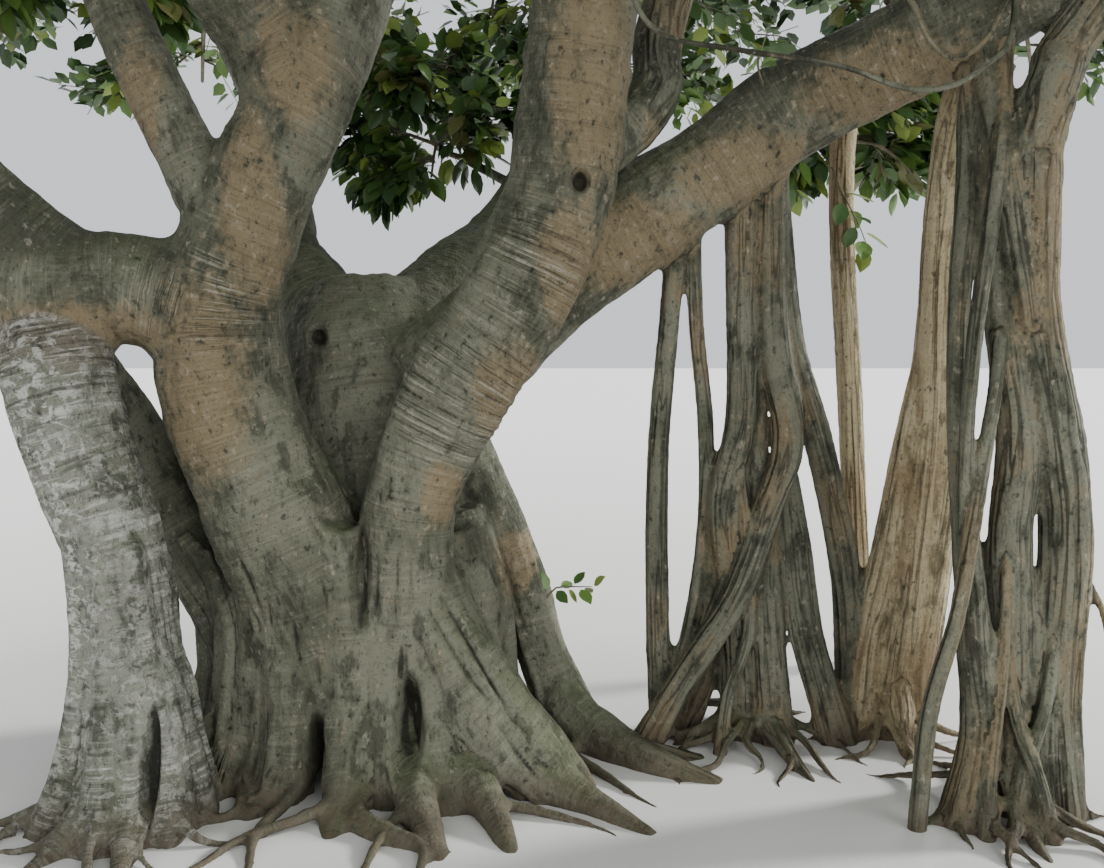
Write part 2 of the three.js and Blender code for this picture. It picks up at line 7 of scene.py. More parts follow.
import bpy
import numpy as np
from mathutils import Matrix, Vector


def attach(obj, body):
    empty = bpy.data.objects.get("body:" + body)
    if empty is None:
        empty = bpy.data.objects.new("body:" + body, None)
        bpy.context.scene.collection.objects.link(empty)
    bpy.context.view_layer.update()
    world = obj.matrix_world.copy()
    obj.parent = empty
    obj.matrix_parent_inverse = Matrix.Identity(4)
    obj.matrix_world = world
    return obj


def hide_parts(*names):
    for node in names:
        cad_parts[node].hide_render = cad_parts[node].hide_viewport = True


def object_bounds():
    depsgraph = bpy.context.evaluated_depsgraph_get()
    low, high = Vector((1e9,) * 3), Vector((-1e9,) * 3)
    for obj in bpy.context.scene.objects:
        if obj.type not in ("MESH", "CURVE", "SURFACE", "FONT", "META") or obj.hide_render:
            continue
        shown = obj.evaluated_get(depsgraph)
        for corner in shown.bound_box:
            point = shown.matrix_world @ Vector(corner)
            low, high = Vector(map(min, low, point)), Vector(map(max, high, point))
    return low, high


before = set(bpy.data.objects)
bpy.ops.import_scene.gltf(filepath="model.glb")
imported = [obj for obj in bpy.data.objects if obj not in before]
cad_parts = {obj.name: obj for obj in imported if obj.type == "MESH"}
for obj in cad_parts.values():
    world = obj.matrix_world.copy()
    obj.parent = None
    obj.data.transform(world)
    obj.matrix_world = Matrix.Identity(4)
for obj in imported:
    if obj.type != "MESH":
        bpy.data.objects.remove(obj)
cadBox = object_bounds()
bpy.ops.object.select_all(action="DESELECT")


# A run of wood is the way its heart goes, each point with the half thickness there: [x, y, z, r].
# The last point of each limb is worked out from the mass of leaves that it carries.
limbs = {
    "left_limb": {
        "way": [[-0.06, -0.18, 0.25, 0.3], [-0.18, -0.29, 0.68, 0.258], [-0.3, -0.335, 1, 0.232],
                [-0.42, -0.35, 1.33, 0.222], [-0.445, -0.36, 1.66, 0.205], [-0.31, -0.36, 2, 0.178],
                [-0.16, -0.35, 2.32, 0.172], [-0.02, -0.26, 2.68, 0.158], [0.25, 0.1, 3.9, 0.118]],
        "startsAt": 2, "carries": "top_mass_2", "tip": 0.07,
    },
    "centre_limb": {
        "way": [[0.12, -0.3, 0.2, 0.23], [0.169, -0.35, 0.563, 0.168], [0.2, -0.36, 0.986, 0.16],
                [0.34, -0.36, 1.33, 0.18], [0.555, -0.36, 1.667, 0.188], [0.697, -0.355, 2, 0.182],
                [0.746, -0.355, 2.325, 0.182], [0.788, -0.38, 2.65, 0.172], [0.9, -0.7, 3.7, 0.13]],
        "startsAt": 2, "carries": "middle_mass_5", "tip": 0.075,
    },
    "right_limb": {
        "way": [[0.25, -0.06, 1.35, 0.23], [0.6, -0.1, 1.68, 0.2], [1.209, -0.1, 2.109, 0.172],
                [1.548, -0.16, 2.351, 0.17], [2.007, -0.4, 2.56, 0.158], [2.7, -0.62, 2.9, 0.135]],
        "carries": "outer_mass_1", "tip": 0.085,
    },
    "long_left_limb": {
        "way": [[-0.42, -0.36, 1.62, 0.19], [-0.712, -0.43, 1.698, 0.185], [-1.103, -0.5, 1.727, 0.178],
                [-1.9, -0.3, 2, 0.15]],
        "carries": "outer_mass_5", "tip": 0.08,
    },
    "left_fork_limb": {
        "way": [[-0.85, -0.46, 1.72, 0.15], [-1.067, -0.56, 1.928, 0.132], [-1.7, -0.85, 2.6, 0.11]],
        "carries": "outer_mass_6", "tip": 0.07,
    },
    "left_upright": {
        "way": [[-0.38, -0.36, 1.88, 0.115], [-0.471, -0.38, 2.029, 0.108], [-0.737, -0.4, 2.632, 0.096],
                [-1.1, -0.35, 3.7, 0.082]],
        "carries": "middle_mass_4", "tip": 0.06,
    },
    "front_left_limb": {
        "way": [[-0.16, -0.35, 2.32, 0.162], [-0.33, -0.46, 2.63, 0.142], [-0.65, -1.1, 3.15, 0.118]],
        "carries": "outer_mass_7", "tip": 0.075,
    },
    "back_limb": {
        "way": [[0.06, 0.15, 1.4, 0.27], [0.25, 0.42, 1.68, 0.225], [0.52, 0.95, 2.02, 0.19],
                [0.8, 1.9, 2.75, 0.145]],
        "carries": "outer_mass_3", "tip": 0.08,
    },
    "back_left_limb": {
        "way": [[-0.08, 0.15, 1.4, 0.23], [-0.35, 0.6, 1.7, 0.185], [-0.56, 0.95, 1.96, 0.16],
                [-0.8, 1.8, 2.65, 0.13]],
        "carries": "outer_mass_4", "tip": 0.075,
    },
    "back_right_limb": {
        "way": [[1.3, -0.1, 2.16, 0.13], [1.62, 0.4, 2.43, 0.115], [2.01, 0.9, 2.7, 0.105],
                [2.7, 1.5, 3.4, 0.09]],
        "carries": "outer_mass_2", "tip": 0.065,
    },
    "centre_side_limb": {
        "way": [[0.735, -0.33, 2.08, 0.105], [1.024, -0.15, 2.37, 0.092], [1.089, -0.1, 2.724, 0.086],
                [1.5, 0.25, 3.9, 0.072]],
        "carries": "middle_mass_1", "tip": 0.058,
    },
    "right_upright": {
        "way": [[2.18, -0.59, 2.12, 0.086], [2.225, -0.6, 2.33, 0.084], [2.332, -0.62, 2.534, 0.08],
                [2.75, -1.2, 3.25, 0.074]],
        "carries": "outer_mass_9", "tip": 0.06,
    },
}

# Boughs that fork from a limb at a share of its way, to carry the masses that no limb ends in
boughs = {
    "front_bough": {"from": "centre_limb", "at": 0.74, "carries": "outer_mass_8", "thick": 0.092},
    "middle_back_bough": {"from": "back_limb", "at": 0.62, "carries": "middle_mass_2", "thick": 0.08},
    "middle_left_bough": {"from": "back_left_limb", "at": 0.62, "carries": "middle_mass_3", "thick": 0.078},
    "middle_right_bough": {"from": "right_limb", "at": 0.78, "carries": "middle_mass_6", "thick": 0.084},
    "top_bough": {"from": "centre_limb", "at": 0.86, "carries": "top_mass_1", "thick": 0.072},
    "low_back_bough": {"from": "back_limb", "at": 0.55, "carries": "low_mass_back", "thick": 0.034},
    "low_right_bough": {"from": "back_right_limb", "at": 0.42, "carries": "low_mass_right", "thick": 0.03},
    "low_left_bough": {"from": "left_upright", "at": 0.6, "carries": "low_mass_left", "thick": 0.026},
}

boughShape = {"lead": 0.3, "bend": 0.45, "middle": 0.84, "end": 0.62}

# The trunk below its fork: a hollowed back, two legs at the right and the roots that run out on the ground
trunkRuns = {
    "back": [[0.04, 0.08, -0.06, 0.43], [0.04, 0.11, 0.6, 0.365], [0, 0.15, 1.2, 0.35],
             [-0.05, 0.2, 1.56, 0.31], [-0.06, 0.22, 1.76, 0.19]],
    "backLeg": [[0.8, 0, -0.04, 0.13], [0.64, 0.04, 0.33, 0.1], [0.54, 0.05, 0.69, 0.092],
                [0.405, 0.05, 0.998, 0.104], [0.25, 0.06, 1.28, 0.12]],
    "lump": [[0.42, -0.09, 0.18, 0.11], [0.4, -0.1, 0.56, 0.122], [0.33, -0.06, 0.9, 0.088]],
    "frontLeg": [[0.76, -0.47, -0.06, 0.12], [0.56, -0.43, 0.15, 0.15], [0.35, -0.39, 0.4, 0.172],
                 [0.2, -0.34, 0.7, 0.15]],
}
groundRoots = {
    "right": [[1.27, -0.4, -0.025, 0.04], [1.05, -0.29, 0.02, 0.062], [0.86, -0.12, 0.06, 0.092],
              [0.7, -0.02, 0.17, 0.09]],
    "rightFork": [[1.24, -0.18, -0.025, 0.034], [1.06, -0.2, 0.015, 0.048], [0.93, -0.17, 0.04, 0.06]],
    "frontRight": [[1, -0.78, -0.025, 0.032], [0.82, -0.62, 0.02, 0.052], [0.6, -0.48, 0.07, 0.08]],
    "front": [[0.56, -0.9, -0.025, 0.032], [0.5, -0.72, 0.02, 0.052], [0.4, -0.52, 0.09, 0.09]],
}

trunkFlare = {
    "centre": [0.02, -0.06], "bearings": [208, 240, 266, 292, 60, 110, 160],
    "reach": 0.74, "rise": 0.76, "heart": 0.37, "thick": 0.122, "seed": 11,
}

# What all flares share: how uneven their roots are, each as the least and what a draw adds
flareShape = {"sway": 10, "reach": (0.82, 0.36), "rise": (0.75, 0.5), "thick": (0.8, 0.4)}

# Pillar roots: strands that have grown together between a spread foot and the limb they hang from
pillars = {
    "left_pillar": {
        "runs": [
            [[-0.65, -0.64, -0.06, 0.255], [-0.65, -0.62, 0.24, 0.19], [-0.68, -0.6, 0.53, 0.158],
             [-0.718, -0.58, 0.825, 0.155], [-0.85, -0.565, 1.24, 0.168], [-0.92, -0.54, 1.5, 0.178],
             [-0.96, -0.52, 1.66, 0.12]],
            [[-0.52, -0.66, -0.04, 0.13], [-0.56, -0.66, 0.26, 0.105], [-0.64, -0.64, 0.62, 0.08]],
        ],
        "flare": {
            "centre": [-0.65, -0.64], "bearings": [195, 240, 285],
            "reach": 0.39, "rise": 0.42, "heart": 0.15, "thick": 0.08, "seed": 21,
        },
        "slot": "pale_bark",
    },
    "strut_root": {
        "runs": [
            [[-0.454, -0.33, -0.06, 0.15], [-0.43, -0.21, 0.4, 0.128], [-0.606, -0.15, 0.731, 0.138],
             [-0.789, -0.13, 1.059, 0.13], [-0.93, -0.25, 1.4, 0.112], [-1.02, -0.42, 1.64, 0.1]],
            [[-0.6, -0.23, -0.04, 0.08], [-0.54, -0.19, 0.38, 0.078], [-0.56, -0.16, 0.64, 0.08]],
        ],
        "slot": "bark",
    },
    "middle_pillar": {
        "runs": [
            [[1.12, 0.06, -0.04, 0.06], [1.09, 0.07, 0.48, 0.05], [1.085, 0.05, 1.1, 0.044],
             [1.115, -0.03, 1.64, 0.04], [1.14, -0.09, 2.07, 0.046]],
            [[1.08, 0.02, -0.04, 0.05], [1.205, 0.04, 0.39, 0.034], [1.262, 0.04, 0.78, 0.033],
             [1.262, 0.03, 1.195, 0.033], [1.212, -0.03, 1.6, 0.03], [1.18, -0.09, 2.08, 0.034]],
            [[1.83, 0.06, -0.04, 0.09], [1.84, 0.05, 0.3, 0.066], [1.795, 0.05, 0.72, 0.06],
             [1.69, 0.04, 1.157, 0.056], [1.57, 0.02, 1.56, 0.052], [1.48, -0.06, 2.18, 0.05]],
            [[1.4, 0.04, -0.04, 0.086], [1.4, 0.03, 0.3, 0.07], [1.36, 0.01, 0.64, 0.062],
             [1.33, -0.01, 0.93, 0.062], [1.385, -0.02, 1.24, 0.06], [1.372, -0.04, 1.68, 0.056],
             [1.355, -0.09, 2.2, 0.062]],
            [[1.01, -0.06, -0.04, 0.07], [1.17, -0.07, 0.25, 0.056], [1.37, -0.08, 0.582, 0.052],
             [1.49, -0.07, 0.929, 0.056], [1.56, -0.04, 1.18, 0.062], [1.49, -0.03, 1.6, 0.058],
             [1.47, -0.09, 2.26, 0.062]],
            [[1.54, -0.02, -0.04, 0.084], [1.515, -0.03, 0.25, 0.07], [1.492, -0.02, 0.56, 0.06],
             [1.48, 0.02, 0.853, 0.056], [1.44, 0.04, 1.2, 0.056], [1.45, 0.02, 1.68, 0.05],
             [1.43, -0.07, 2.2, 0.056]],
            [[1.79, -0.02, -0.04, 0.08], [1.72, -0.03, 0.18, 0.072], [1.64, -0.02, 0.466, 0.066],
             [1.605, 0.01, 0.776, 0.062], [1.56, 0.04, 1.06, 0.05]],
            [[1.17, 0.1, -0.04, 0.066], [1.25, 0.09, 0.15, 0.062], [1.3, 0.07, 0.42, 0.058],
             [1.29, 0.05, 0.776, 0.052], [1.33, 0.03, 1.06, 0.05]],
            [[1.56, 0.23, -0.04, 0.084], [1.54, 0.18, 0.3, 0.07], [1.49, 0.13, 0.8, 0.06],
             [1.45, 0.09, 1.3, 0.056], [1.42, -0.03, 2.15, 0.058]],
        ],
        "flare": {
            "centre": [1.48, 0.06], "bearings": [205, 285],
            "reach": 0.4, "rise": 0.34, "heart": 0.1, "thick": 0.056, "seed": 33,
        },
        "slot": "bark",
    },
    "straight_pillar": {
        "runs": [
            [[2.135, 0.9, -0.04, 0.072], [2.117, 0.9, 0.32, 0.064], [2.05, 0.9, 1.3, 0.06],
             [1.99, 0.9, 2.12, 0.058], [2, 0.9, 2.62, 0.062]],
        ],
        "slot": "tan_bark",
    },
    "tan_pillar": {
        "runs": [
            [[1.96, 0.06, -0.04, 0.096], [1.995, 0.04, 0.16, 0.084], [2.03, 0.02, 0.5, 0.074],
             [2.06, 0, 0.9, 0.066], [2.085, -0.02, 1.35, 0.056], [2.075, -0.06, 1.87, 0.054],
             [2.07, -0.18, 2.27, 0.056], [2.085, -0.33, 2.5, 0.058]],
            [[2.1, 0.06, -0.04, 0.08], [2.12, 0.04, 0.39, 0.07], [2.16, 0.02, 0.86, 0.062],
             [2.18, -0.01, 1.31, 0.056], [2.16, -0.05, 1.87, 0.05], [2.135, -0.19, 2.27, 0.05],
             [2.12, -0.33, 2.5, 0.052]],
            [[1.85, 0.04, -0.04, 0.074], [1.88, 0.03, 0.35, 0.062], [1.945, 0.02, 0.7, 0.054],
             [2.005, 0, 1.15, 0.044], [2.06, 0, 1.5, 0.026]],
            [[2.01, 0.17, -0.04, 0.09], [2.03, 0.14, 0.5, 0.076], [2.08, 0.09, 1, 0.06],
             [2.11, 0, 1.9, 0.05], [2.1, -0.26, 2.44, 0.052]],
        ],
        "flare": {
            "centre": [2.01, 0.05], "bearings": [200, 270],
            "reach": 0.3, "rise": 0.42, "heart": 0.07, "thick": 0.06, "seed": 43,
        },
        "slot": "tan_bark",
    },
    "right_pillar": {
        "runs": [
            [[2.33, -0.64, -0.04, 0.1], [2.31, -0.61, 0.37, 0.08], [2.33, -0.6, 0.87, 0.086],
             [2.29, -0.595, 1.23, 0.082], [2.2, -0.59, 1.65, 0.08], [2.18, -0.59, 2.12, 0.086]],
            [[2.18, -0.6, -0.04, 0.096], [2.185, -0.6, 0.4, 0.074], [2.15, -0.6, 0.9, 0.07],
             [2.16, -0.595, 1.25, 0.066], [2.095, -0.585, 1.64, 0.056], [2.072, -0.54, 2.05, 0.05],
             [2.08, -0.46, 2.48, 0.052]],
            [[1.98, -0.7, -0.04, 0.084], [2.045, -0.68, 0.29, 0.062], [2.015, -0.67, 0.62, 0.056],
             [1.985, -0.65, 0.96, 0.044], [2.01, -0.62, 1.18, 0.034]],
            [[2.15, -0.48, -0.04, 0.09], [2.12, -0.48, 0.4, 0.066], [2.04, -0.54, 0.8, 0.046],
             [1.99, -0.56, 1.25, 0.04], [1.975, -0.56, 1.65, 0.038], [2, -0.53, 2.05, 0.04],
             [2.025, -0.44, 2.48, 0.044]],
            [[1.96, -0.72, 0.9, 0.026], [1.942, -0.74, 1.25, 0.025], [1.96, -0.735, 1.56, 0.026],
             [2.004, -0.7, 1.85, 0.028], [2.06, -0.62, 2.12, 0.03], [2.11, -0.5, 2.5, 0.034]],
            [[1.83, -0.74, -0.04, 0.034], [1.852, -0.76, 0.38, 0.03], [1.925, -0.76, 0.68, 0.027],
             [1.96, -0.755, 0.93, 0.028], [2, -0.735, 1.18, 0.026], [2.045, -0.69, 1.38, 0.024],
             [2.075, -0.63, 1.56, 0.026]],
            [[2.17, -0.62, 1.56, 0.052], [2.11, -0.62, 1.93, 0.056], [2.075, -0.56, 2.2, 0.058],
             [2.06, -0.46, 2.48, 0.06]],
        ],
        "flare": {
            "centre": [2.15, -0.59], "bearings": [205, 275],
            "reach": 0.34, "rise": 0.4, "heart": 0.09, "thick": 0.056, "seed": 53,
        },
        "slot": "bark",
    },
    "hanging_root": {
        "runs": [
            [[2.54, -0.64, -0.04, 0.02], [2.52, -0.64, 0.24, 0.014], [2.46, -0.625, 0.62, 0.013],
             [2.4, -0.61, 0.76, 0.015], [2.34, -0.605, 0.86, 0.024]],
        ],
        "slot": "tan_bark",
    },
}

# Fits and the crown's plan: rings of leaf masses round a centre a little to the right of the trunk
jointGap = 0.0003
crown = {
    "centre": [0.5, 0],
    "rings": {
        "outer_mass": {"count": 9, "turn": 0, "radius": 4.25, "height": 4.0, "size": [1.75, 1.75, 1.25]},
        "middle_mass": {"count": 6, "turn": 20, "radius": 2.25, "height": 5.75, "size": [1.6, 1.6, 1.2]},
        "top_mass": {"count": 2, "turn": 60, "radius": 0.8, "height": 7.15, "size": [1.5, 1.5, 1.15]},
    },
    "low": {
        "low_mass_back": {"centre": [0.02, 1.65, 2.62], "size": [0.64, 0.62, 0.78]},
        "low_mass_right": {"centre": [2.3, 1.75, 2.56], "size": [0.62, 0.56, 0.52]},
        "low_mass_left": {"centre": [-1.15, 0.25, 3.05], "size": [0.56, 0.52, 0.56]},
    },
    "flatness": 1.35,  # how much nearer two masses may stand upwards than sideways
    "cellAir": 0.012,
    "leafAir": 0.025,
    "entryDepth": 0.56,
    "uneven": {"turn": 8, "radius": 0.08, "height": 0.5, "size": 0.12},
    "seed": 5,
}


# Numbers between 0 and 1 that are the same on every run
def seeded(seed):
    state = seed * 7919 + 13

    def draw():
        nonlocal state
        state = state * 16807 % 2147483647
        return state / 2147483647

    return draw


def unit(vectors):
    vectors = np.asarray(vectors, dtype=float)
    return vectors / np.maximum(np.linalg.norm(vectors, axis=-1, keepdims=True), 1e-9)


# The smooth line through a way's points, with the half thickness along it
class Heart:
    def __init__(self, way):
        self.way = np.array(way, dtype=float)
        self.last = len(way) - 1

    def points(self, shares):
        knots = self.way[:, :3]
        knots = np.vstack([2 * knots[0] - knots[1], knots, 2 * knots[-1] - knots[-2]])
        place = np.clip(np.atleast_1d(shares), 0, 1) * self.last
        k = np.minimum(place.astype(int), self.last - 1)
        w = (place - k)[:, None]
        before, start, end, after = (knots[k + i] for i in range(4))
        leave = (end - before) / 2
        arrive = (after - start) / 2
        return (start + leave * w + (3 * (end - start) - 2 * leave - arrive) * w**2
                + (2 * (start - end) + leave + arrive) * w**3)

    def tangents(self, shares):
        shares = np.atleast_1d(shares)
        near = 1e-4
        return unit(self.points(np.minimum(shares + near, 1)) - self.points(np.maximum(shares - near, 0)))

    def thick(self, shares):
        place = np.clip(np.atleast_1d(shares), 0, 1) * self.last
        return np.interp(place, np.arange(self.last + 1), self.way[:, 3])

    def length(self):
        line = self.points(np.linspace(0, 1, 60))
        return float(np.linalg.norm(np.diff(line, axis=0), axis=1).sum())


# Where the masses of leaves are, with a little seeded unevenness
def planMasses():
    draw = seeded(crown["seed"])
    uneven = crown["uneven"]
    masses = {}
    for name, ring in crown["rings"].items():
        for k in range(ring["count"]):
            degrees = ring["turn"] + 360 / ring["count"] * k + uneven["turn"] * (draw() - 0.5)
            bearing = math.radians(degrees)
            radius = ring["radius"] * (1 + uneven["radius"] * (draw() - 0.5))
            centre = [
                crown["centre"][0] + radius * math.cos(bearing),
                crown["centre"][1] + radius * math.sin(bearing),
                ring["height"] + uneven["height"] * (draw() - 0.5),
            ]
            scale = 1 + uneven["size"] * (draw() - 0.5)
            masses[f"{name}_{k + 1}"] = {"centre": np.array(centre), "size": np.array(ring["size"]) * scale}
    for name, mass in crown["low"].items():
        masses[name] = {"centre": np.array(mass["centre"]), "size": np.array(mass["size"])}
    return masses


masses = planMasses()


# The point where wood that comes from a given point stops inside a mass
def entryPoint(mass, comingFrom):
    out = unit((np.array(comingFrom) - mass["centre"]) / mass["size"]) * crown["entryDepth"]
    return mass["centre"] + out * mass["size"]


# One run of wood. Up to the share ownFrom of its way it belongs to the trunk.
def run(way, ownFrom=0):
    return {"heart": way if isinstance(way, Heart) else Heart(way), "ownFrom": ownFrom}


# Buttress roots round a foot, each from the ground up into the wood
def flareRuns(flare):
    draw = seeded(flare["seed"])
    heart = flare["heart"]

    def uneven(key):
        least, more = flareShape[key]
        return flare[key] * (least + more * draw())

    runs = []
    for degrees in flare["bearings"]:
        bearing = math.radians(degrees + flareShape["sway"] * (draw() - 0.5))
        out, top, girth = uneven("reach"), uneven("rise"), uneven("thick")
        # four stations, each as how far out it is, how high and how thick
        stations = [
            (out * 1.1, -girth * 0.35, girth * 0.32),
            (out + (heart - out) * 0.38, flare["rise"] * 0.05, girth * 0.55),
            (heart * 1.1, flare["rise"] * 0.32, girth * 0.9),
            (heart * 0.55, top, girth * 0.5),
        ]
        x, y = flare["centre"]
        runs.append(run([[x + far * math.cos(bearing), y + far * math.sin(bearing), z, r]
                         for far, z, r in stations]))
    return runs


# All wood as named pieces, each with its runs
def planWood():
    wood = {"left_limb": [], "trunk": [], "centre_limb": []}
    for name, limb in limbs.items():
        mass = masses[limb["carries"]]
        entry = entryPoint(mass, limb["way"][-1][:3])
        heart = Heart(limb["way"] + [[*entry, limb["tip"]]])
        wood[name] = [run(heart, limb.get("startsAt", 0) / heart.last)]
        mass["carrier"] = heart
    for name, bough in boughs.items():
        mass = masses[bough["carries"]]
        parent = wood[bough["from"]][0]["heart"]
        start = parent.points(bough["at"])[0]
        entry = entryPoint(mass, start)
        reach = np.linalg.norm(entry - start)
        bend = start + parent.tangents(bough["at"])[0] * boughShape["lead"] * reach
        middle = (start + entry) / 2
        middle = middle + (bend - middle) * boughShape["bend"]
        heart = Heart([[*start, bough["thick"]], [*middle, bough["thick"] * boughShape["middle"]],
                       [*entry, bough["thick"] * boughShape["end"]]])
        wood[name] = [run(heart)]
        mass["carrier"] = heart
    for name, pillar in pillars.items():
        wood[name] = [run(way) for way in pillar["runs"]]
        if "flare" in pillar:
            wood[name] += flareRuns(pillar["flare"])
    wood["trunk"] += [run(way) for way in trunkRuns.values()]
    wood["trunk"] += [run(way) for way in groundRoots.values()]
    wood["trunk"] += flareRuns(trunkFlare)
    return wood


wood = planWood()
print("planned", len(wood), "pieces of wood and", len(masses), "masses of leaves")


# Thin roots that lie on the stouter wood, only there for the eye
ribs = {
    "trunk": [
        [[-0.25, -0.52, -0.03, 0.115], [-0.22, -0.46, 0.2, 0.1], [-0.23, -0.43, 0.55, 0.09],
         [-0.29, -0.44, 1, 0.07]],
        [[0, -0.56, -0.03, 0.1], [0, -0.49, 0.2, 0.086], [0, -0.46, 0.52, 0.08],
         [-0.03, -0.43, 0.9, 0.06]],
        [[0.14, -0.59, -0.03, 0.05], [0.115, -0.54, 0.15, 0.042], [0.1, -0.51, 0.36, 0.036],
         [0.07, -0.47, 0.62, 0.03]],
        [[-0.4, -0.44, -0.03, 0.1], [-0.35, -0.38, 0.22, 0.08], [-0.34, -0.38, 0.55, 0.06],
         [-0.4, -0.4, 0.85, 0.04]],
        [[0.36, -0.62, -0.03, 0.06], [0.31, -0.55, 0.14, 0.055], [0.27, -0.5, 0.38, 0.045],
         [0.24, -0.46, 0.7, 0.03]],
        [[0.46, -0.2, 0.05, 0.07], [0.44, -0.21, 0.3, 0.07], [0.42, -0.19, 0.6, 0.065],
         [0.36, -0.16, 0.85, 0.04]],
        [[0.4, -0.5, -0.02, 0.07], [0.37, -0.46, 0.16, 0.07], [0.33, -0.42, 0.32, 0.06]],
        [[0.53, -0.1, 0, 0.05], [0.51, -0.12, 0.3, 0.05], [0.48, -0.11, 0.6, 0.05],
         [0.4, -0.08, 0.85, 0.035]],
        [[0.37, -0.25, 0.1, 0.04], [0.38, -0.27, 0.35, 0.042], [0.36, -0.24, 0.6, 0.04],
         [0.32, -0.18, 0.84, 0.03]],
    ],
    "strut_root": [
        [[-0.54, -0.45, -0.03, 0.04], [-0.5, -0.37, 0.2, 0.036], [-0.47, -0.34, 0.45, 0.034],
         [-0.5, -0.3, 0.68, 0.036], [-0.62, -0.28, 0.85, 0.03]],
        [[-0.4, -0.46, -0.03, 0.045], [-0.41, -0.37, 0.22, 0.04], [-0.39, -0.34, 0.5, 0.034],
         [-0.44, -0.28, 0.74, 0.03]],
        [[-0.47, -0.5, -0.03, 0.032], [-0.45, -0.41, 0.25, 0.028], [-0.44, -0.36, 0.55, 0.026],
         [-0.54, -0.3, 0.8, 0.022]],
    ],
    "left_pillar": [
        [[-0.9, -0.78, -0.03, 0.07], [-0.84, -0.72, 0.2, 0.06], [-0.8, -0.68, 0.55, 0.05],
         [-0.84, -0.66, 1, 0.035]],
        [[-0.7, -0.9, -0.03, 0.07], [-0.7, -0.8, 0.18, 0.065], [-0.71, -0.72, 0.5, 0.05],
         [-0.76, -0.7, 0.95, 0.035]],
        [[-0.5, -0.84, -0.03, 0.055], [-0.53, -0.77, 0.16, 0.05], [-0.58, -0.71, 0.45, 0.045],
         [-0.64, -0.69, 0.9, 0.03]],
    ],
    "right_pillar": [
        [[2.02, -0.82, -0.03, 0.03], [2.05, -0.75, 0.2, 0.027], [2.1, -0.7, 0.55, 0.022],
         [2.13, -0.62, 1, 0.014]],
        [[2.22, -0.84, -0.03, 0.034], [2.2, -0.76, 0.16, 0.028], [2.14, -0.69, 0.4, 0.024],
         [2.12, -0.6, 0.75, 0.016]],
        [[2.12, -0.78, -0.03, 0.03], [2.17, -0.73, 0.18, 0.026], [2.25, -0.69, 0.42, 0.022],
         [2.3, -0.61, 0.8, 0.014]],
    ],
    "middle_pillar": [
        [[1.3, -0.16, -0.03, 0.03], [1.34, -0.1, 0.2, 0.026], [1.42, -0.07, 0.45, 0.024],
         [1.4, -0.07, 0.85, 0.02], [1.35, -0.04, 1.3, 0.014]],
        [[1.06, -0.02, -0.03, 0.04], [1.16, -0.02, 0.16, 0.034], [1.3, -0.02, 0.5, 0.03],
         [1.42, -0.03, 0.9, 0.026]],
    ],
}
# and small surface roots that wind on from each foot
fineRoots = [
    {"of": "trunk", "centre": (0.02, -0.06), "from": 0.38, "reach": 0.74, "thick": 0.03,
     "bearings": [212, 226, 247, 258, 272, 283, 300, 312, 324, 336, 352, 20, 85, 130, 185], "seed": 61},
    {"of": "left_pillar", "centre": (-0.65, -0.64), "from": 0.2, "reach": 0.34, "thick": 0.024,
     "bearings": [180, 205, 222, 250, 268, 292, 310], "seed": 62},
    {"of": "middle_pillar", "centre": (1.44, 0.04), "from": 0.1, "reach": 0.45, "thick": 0.022,
     "bearings": [188, 210, 232, 250, 270, 292, 318, 345, 60, 120], "seed": 63},
    {"of": "right_pillar", "centre": (2.15, -0.62), "from": 0.12, "reach": 0.3, "thick": 0.022,
     "bearings": [185, 215, 238, 258, 280, 302, 335, 90, 140], "seed": 64},
    {"of": "tan_pillar", "centre": (2.0, 0.04), "from": 0.1, "reach": 0.26, "thick": 0.02,
     "bearings": [195, 225, 250, 285, 320], "seed": 65},
]
winding = {"sway": 8, "wander": 0.5, "taper": 0.72, "startHeight": 0.09, "dive": 1.6}


# One surface root: it winds outwards, thins and dives into the ground at its tip
def fineRoot(look, degrees, draw):
    way = []
    x, y = look["centre"]
    bearing = math.radians(degrees + winding["sway"] * (draw() - 0.5))
    reach = look["reach"] * (0.7 + 0.6 * draw())
    for share in (0, 0.3, 0.55, 0.8, 1):
        out = look["from"] + reach * share
        bearing += winding["wander"] * (draw() - 0.5) * (share > 0)
        thick = look["thick"] * (1 - winding["taper"] * share) * (0.8 + 0.4 * draw())
        height = winding["startHeight"] * (1 - share) ** 2 + thick * (0.2 - winding["dive"] * share ** 3)
        way.append([x + out * math.cos(bearing), y + out * math.sin(bearing), height, thick])
    return run(way)


for name, ways in ribs.items():
    wood[name] += [run(way) for way in ways]
for look in fineRoots:
    draw = seeded(look["seed"])
    wood[look["of"]] += [fineRoot(look, degrees, draw) for degrees in look["bearings"]]


# A node with its inputs set or linked, in a material or in geometry nodes
def put(tree, kind, values=(), **settings):
    node = tree.nodes.new(kind)
    for name, value in settings.items():
        setattr(node, name, value)
    for key, value in dict(values).items():
        if isinstance(value, bpy.types.NodeSocket):
            tree.links.new(value, node.inputs[key])
        else:
            node.inputs[key].default_value = value
    return node


def calc(tree, operation, *values, clamp=False):
    return put(tree, "ShaderNodeMath", enumerate(values), operation=operation, use_clamp=clamp).outputs[0]


def plus(tree, total, *others):
    for other in others:
        total = calc(tree, "ADD", total, other)
    return total


def times(tree, product, *others):
    for other in others:
        product = calc(tree, "MULTIPLY", product, other)
    return product


def onVectors(tree, operation, *values):
    return put(tree, "ShaderNodeVectorMath", enumerate(values), operation=operation).outputs


# 0 below low, 1 above high, smooth between them; low may be over high
def step(tree, value, low, high, start=0.0, end=1.0):
    values = {"Value": value, "From Min": low, "From Max": high, "To Min": start, "To Max": end}
    return put(tree, "ShaderNodeMapRange", values, interpolation_type="SMOOTHSTEP").outputs[0]


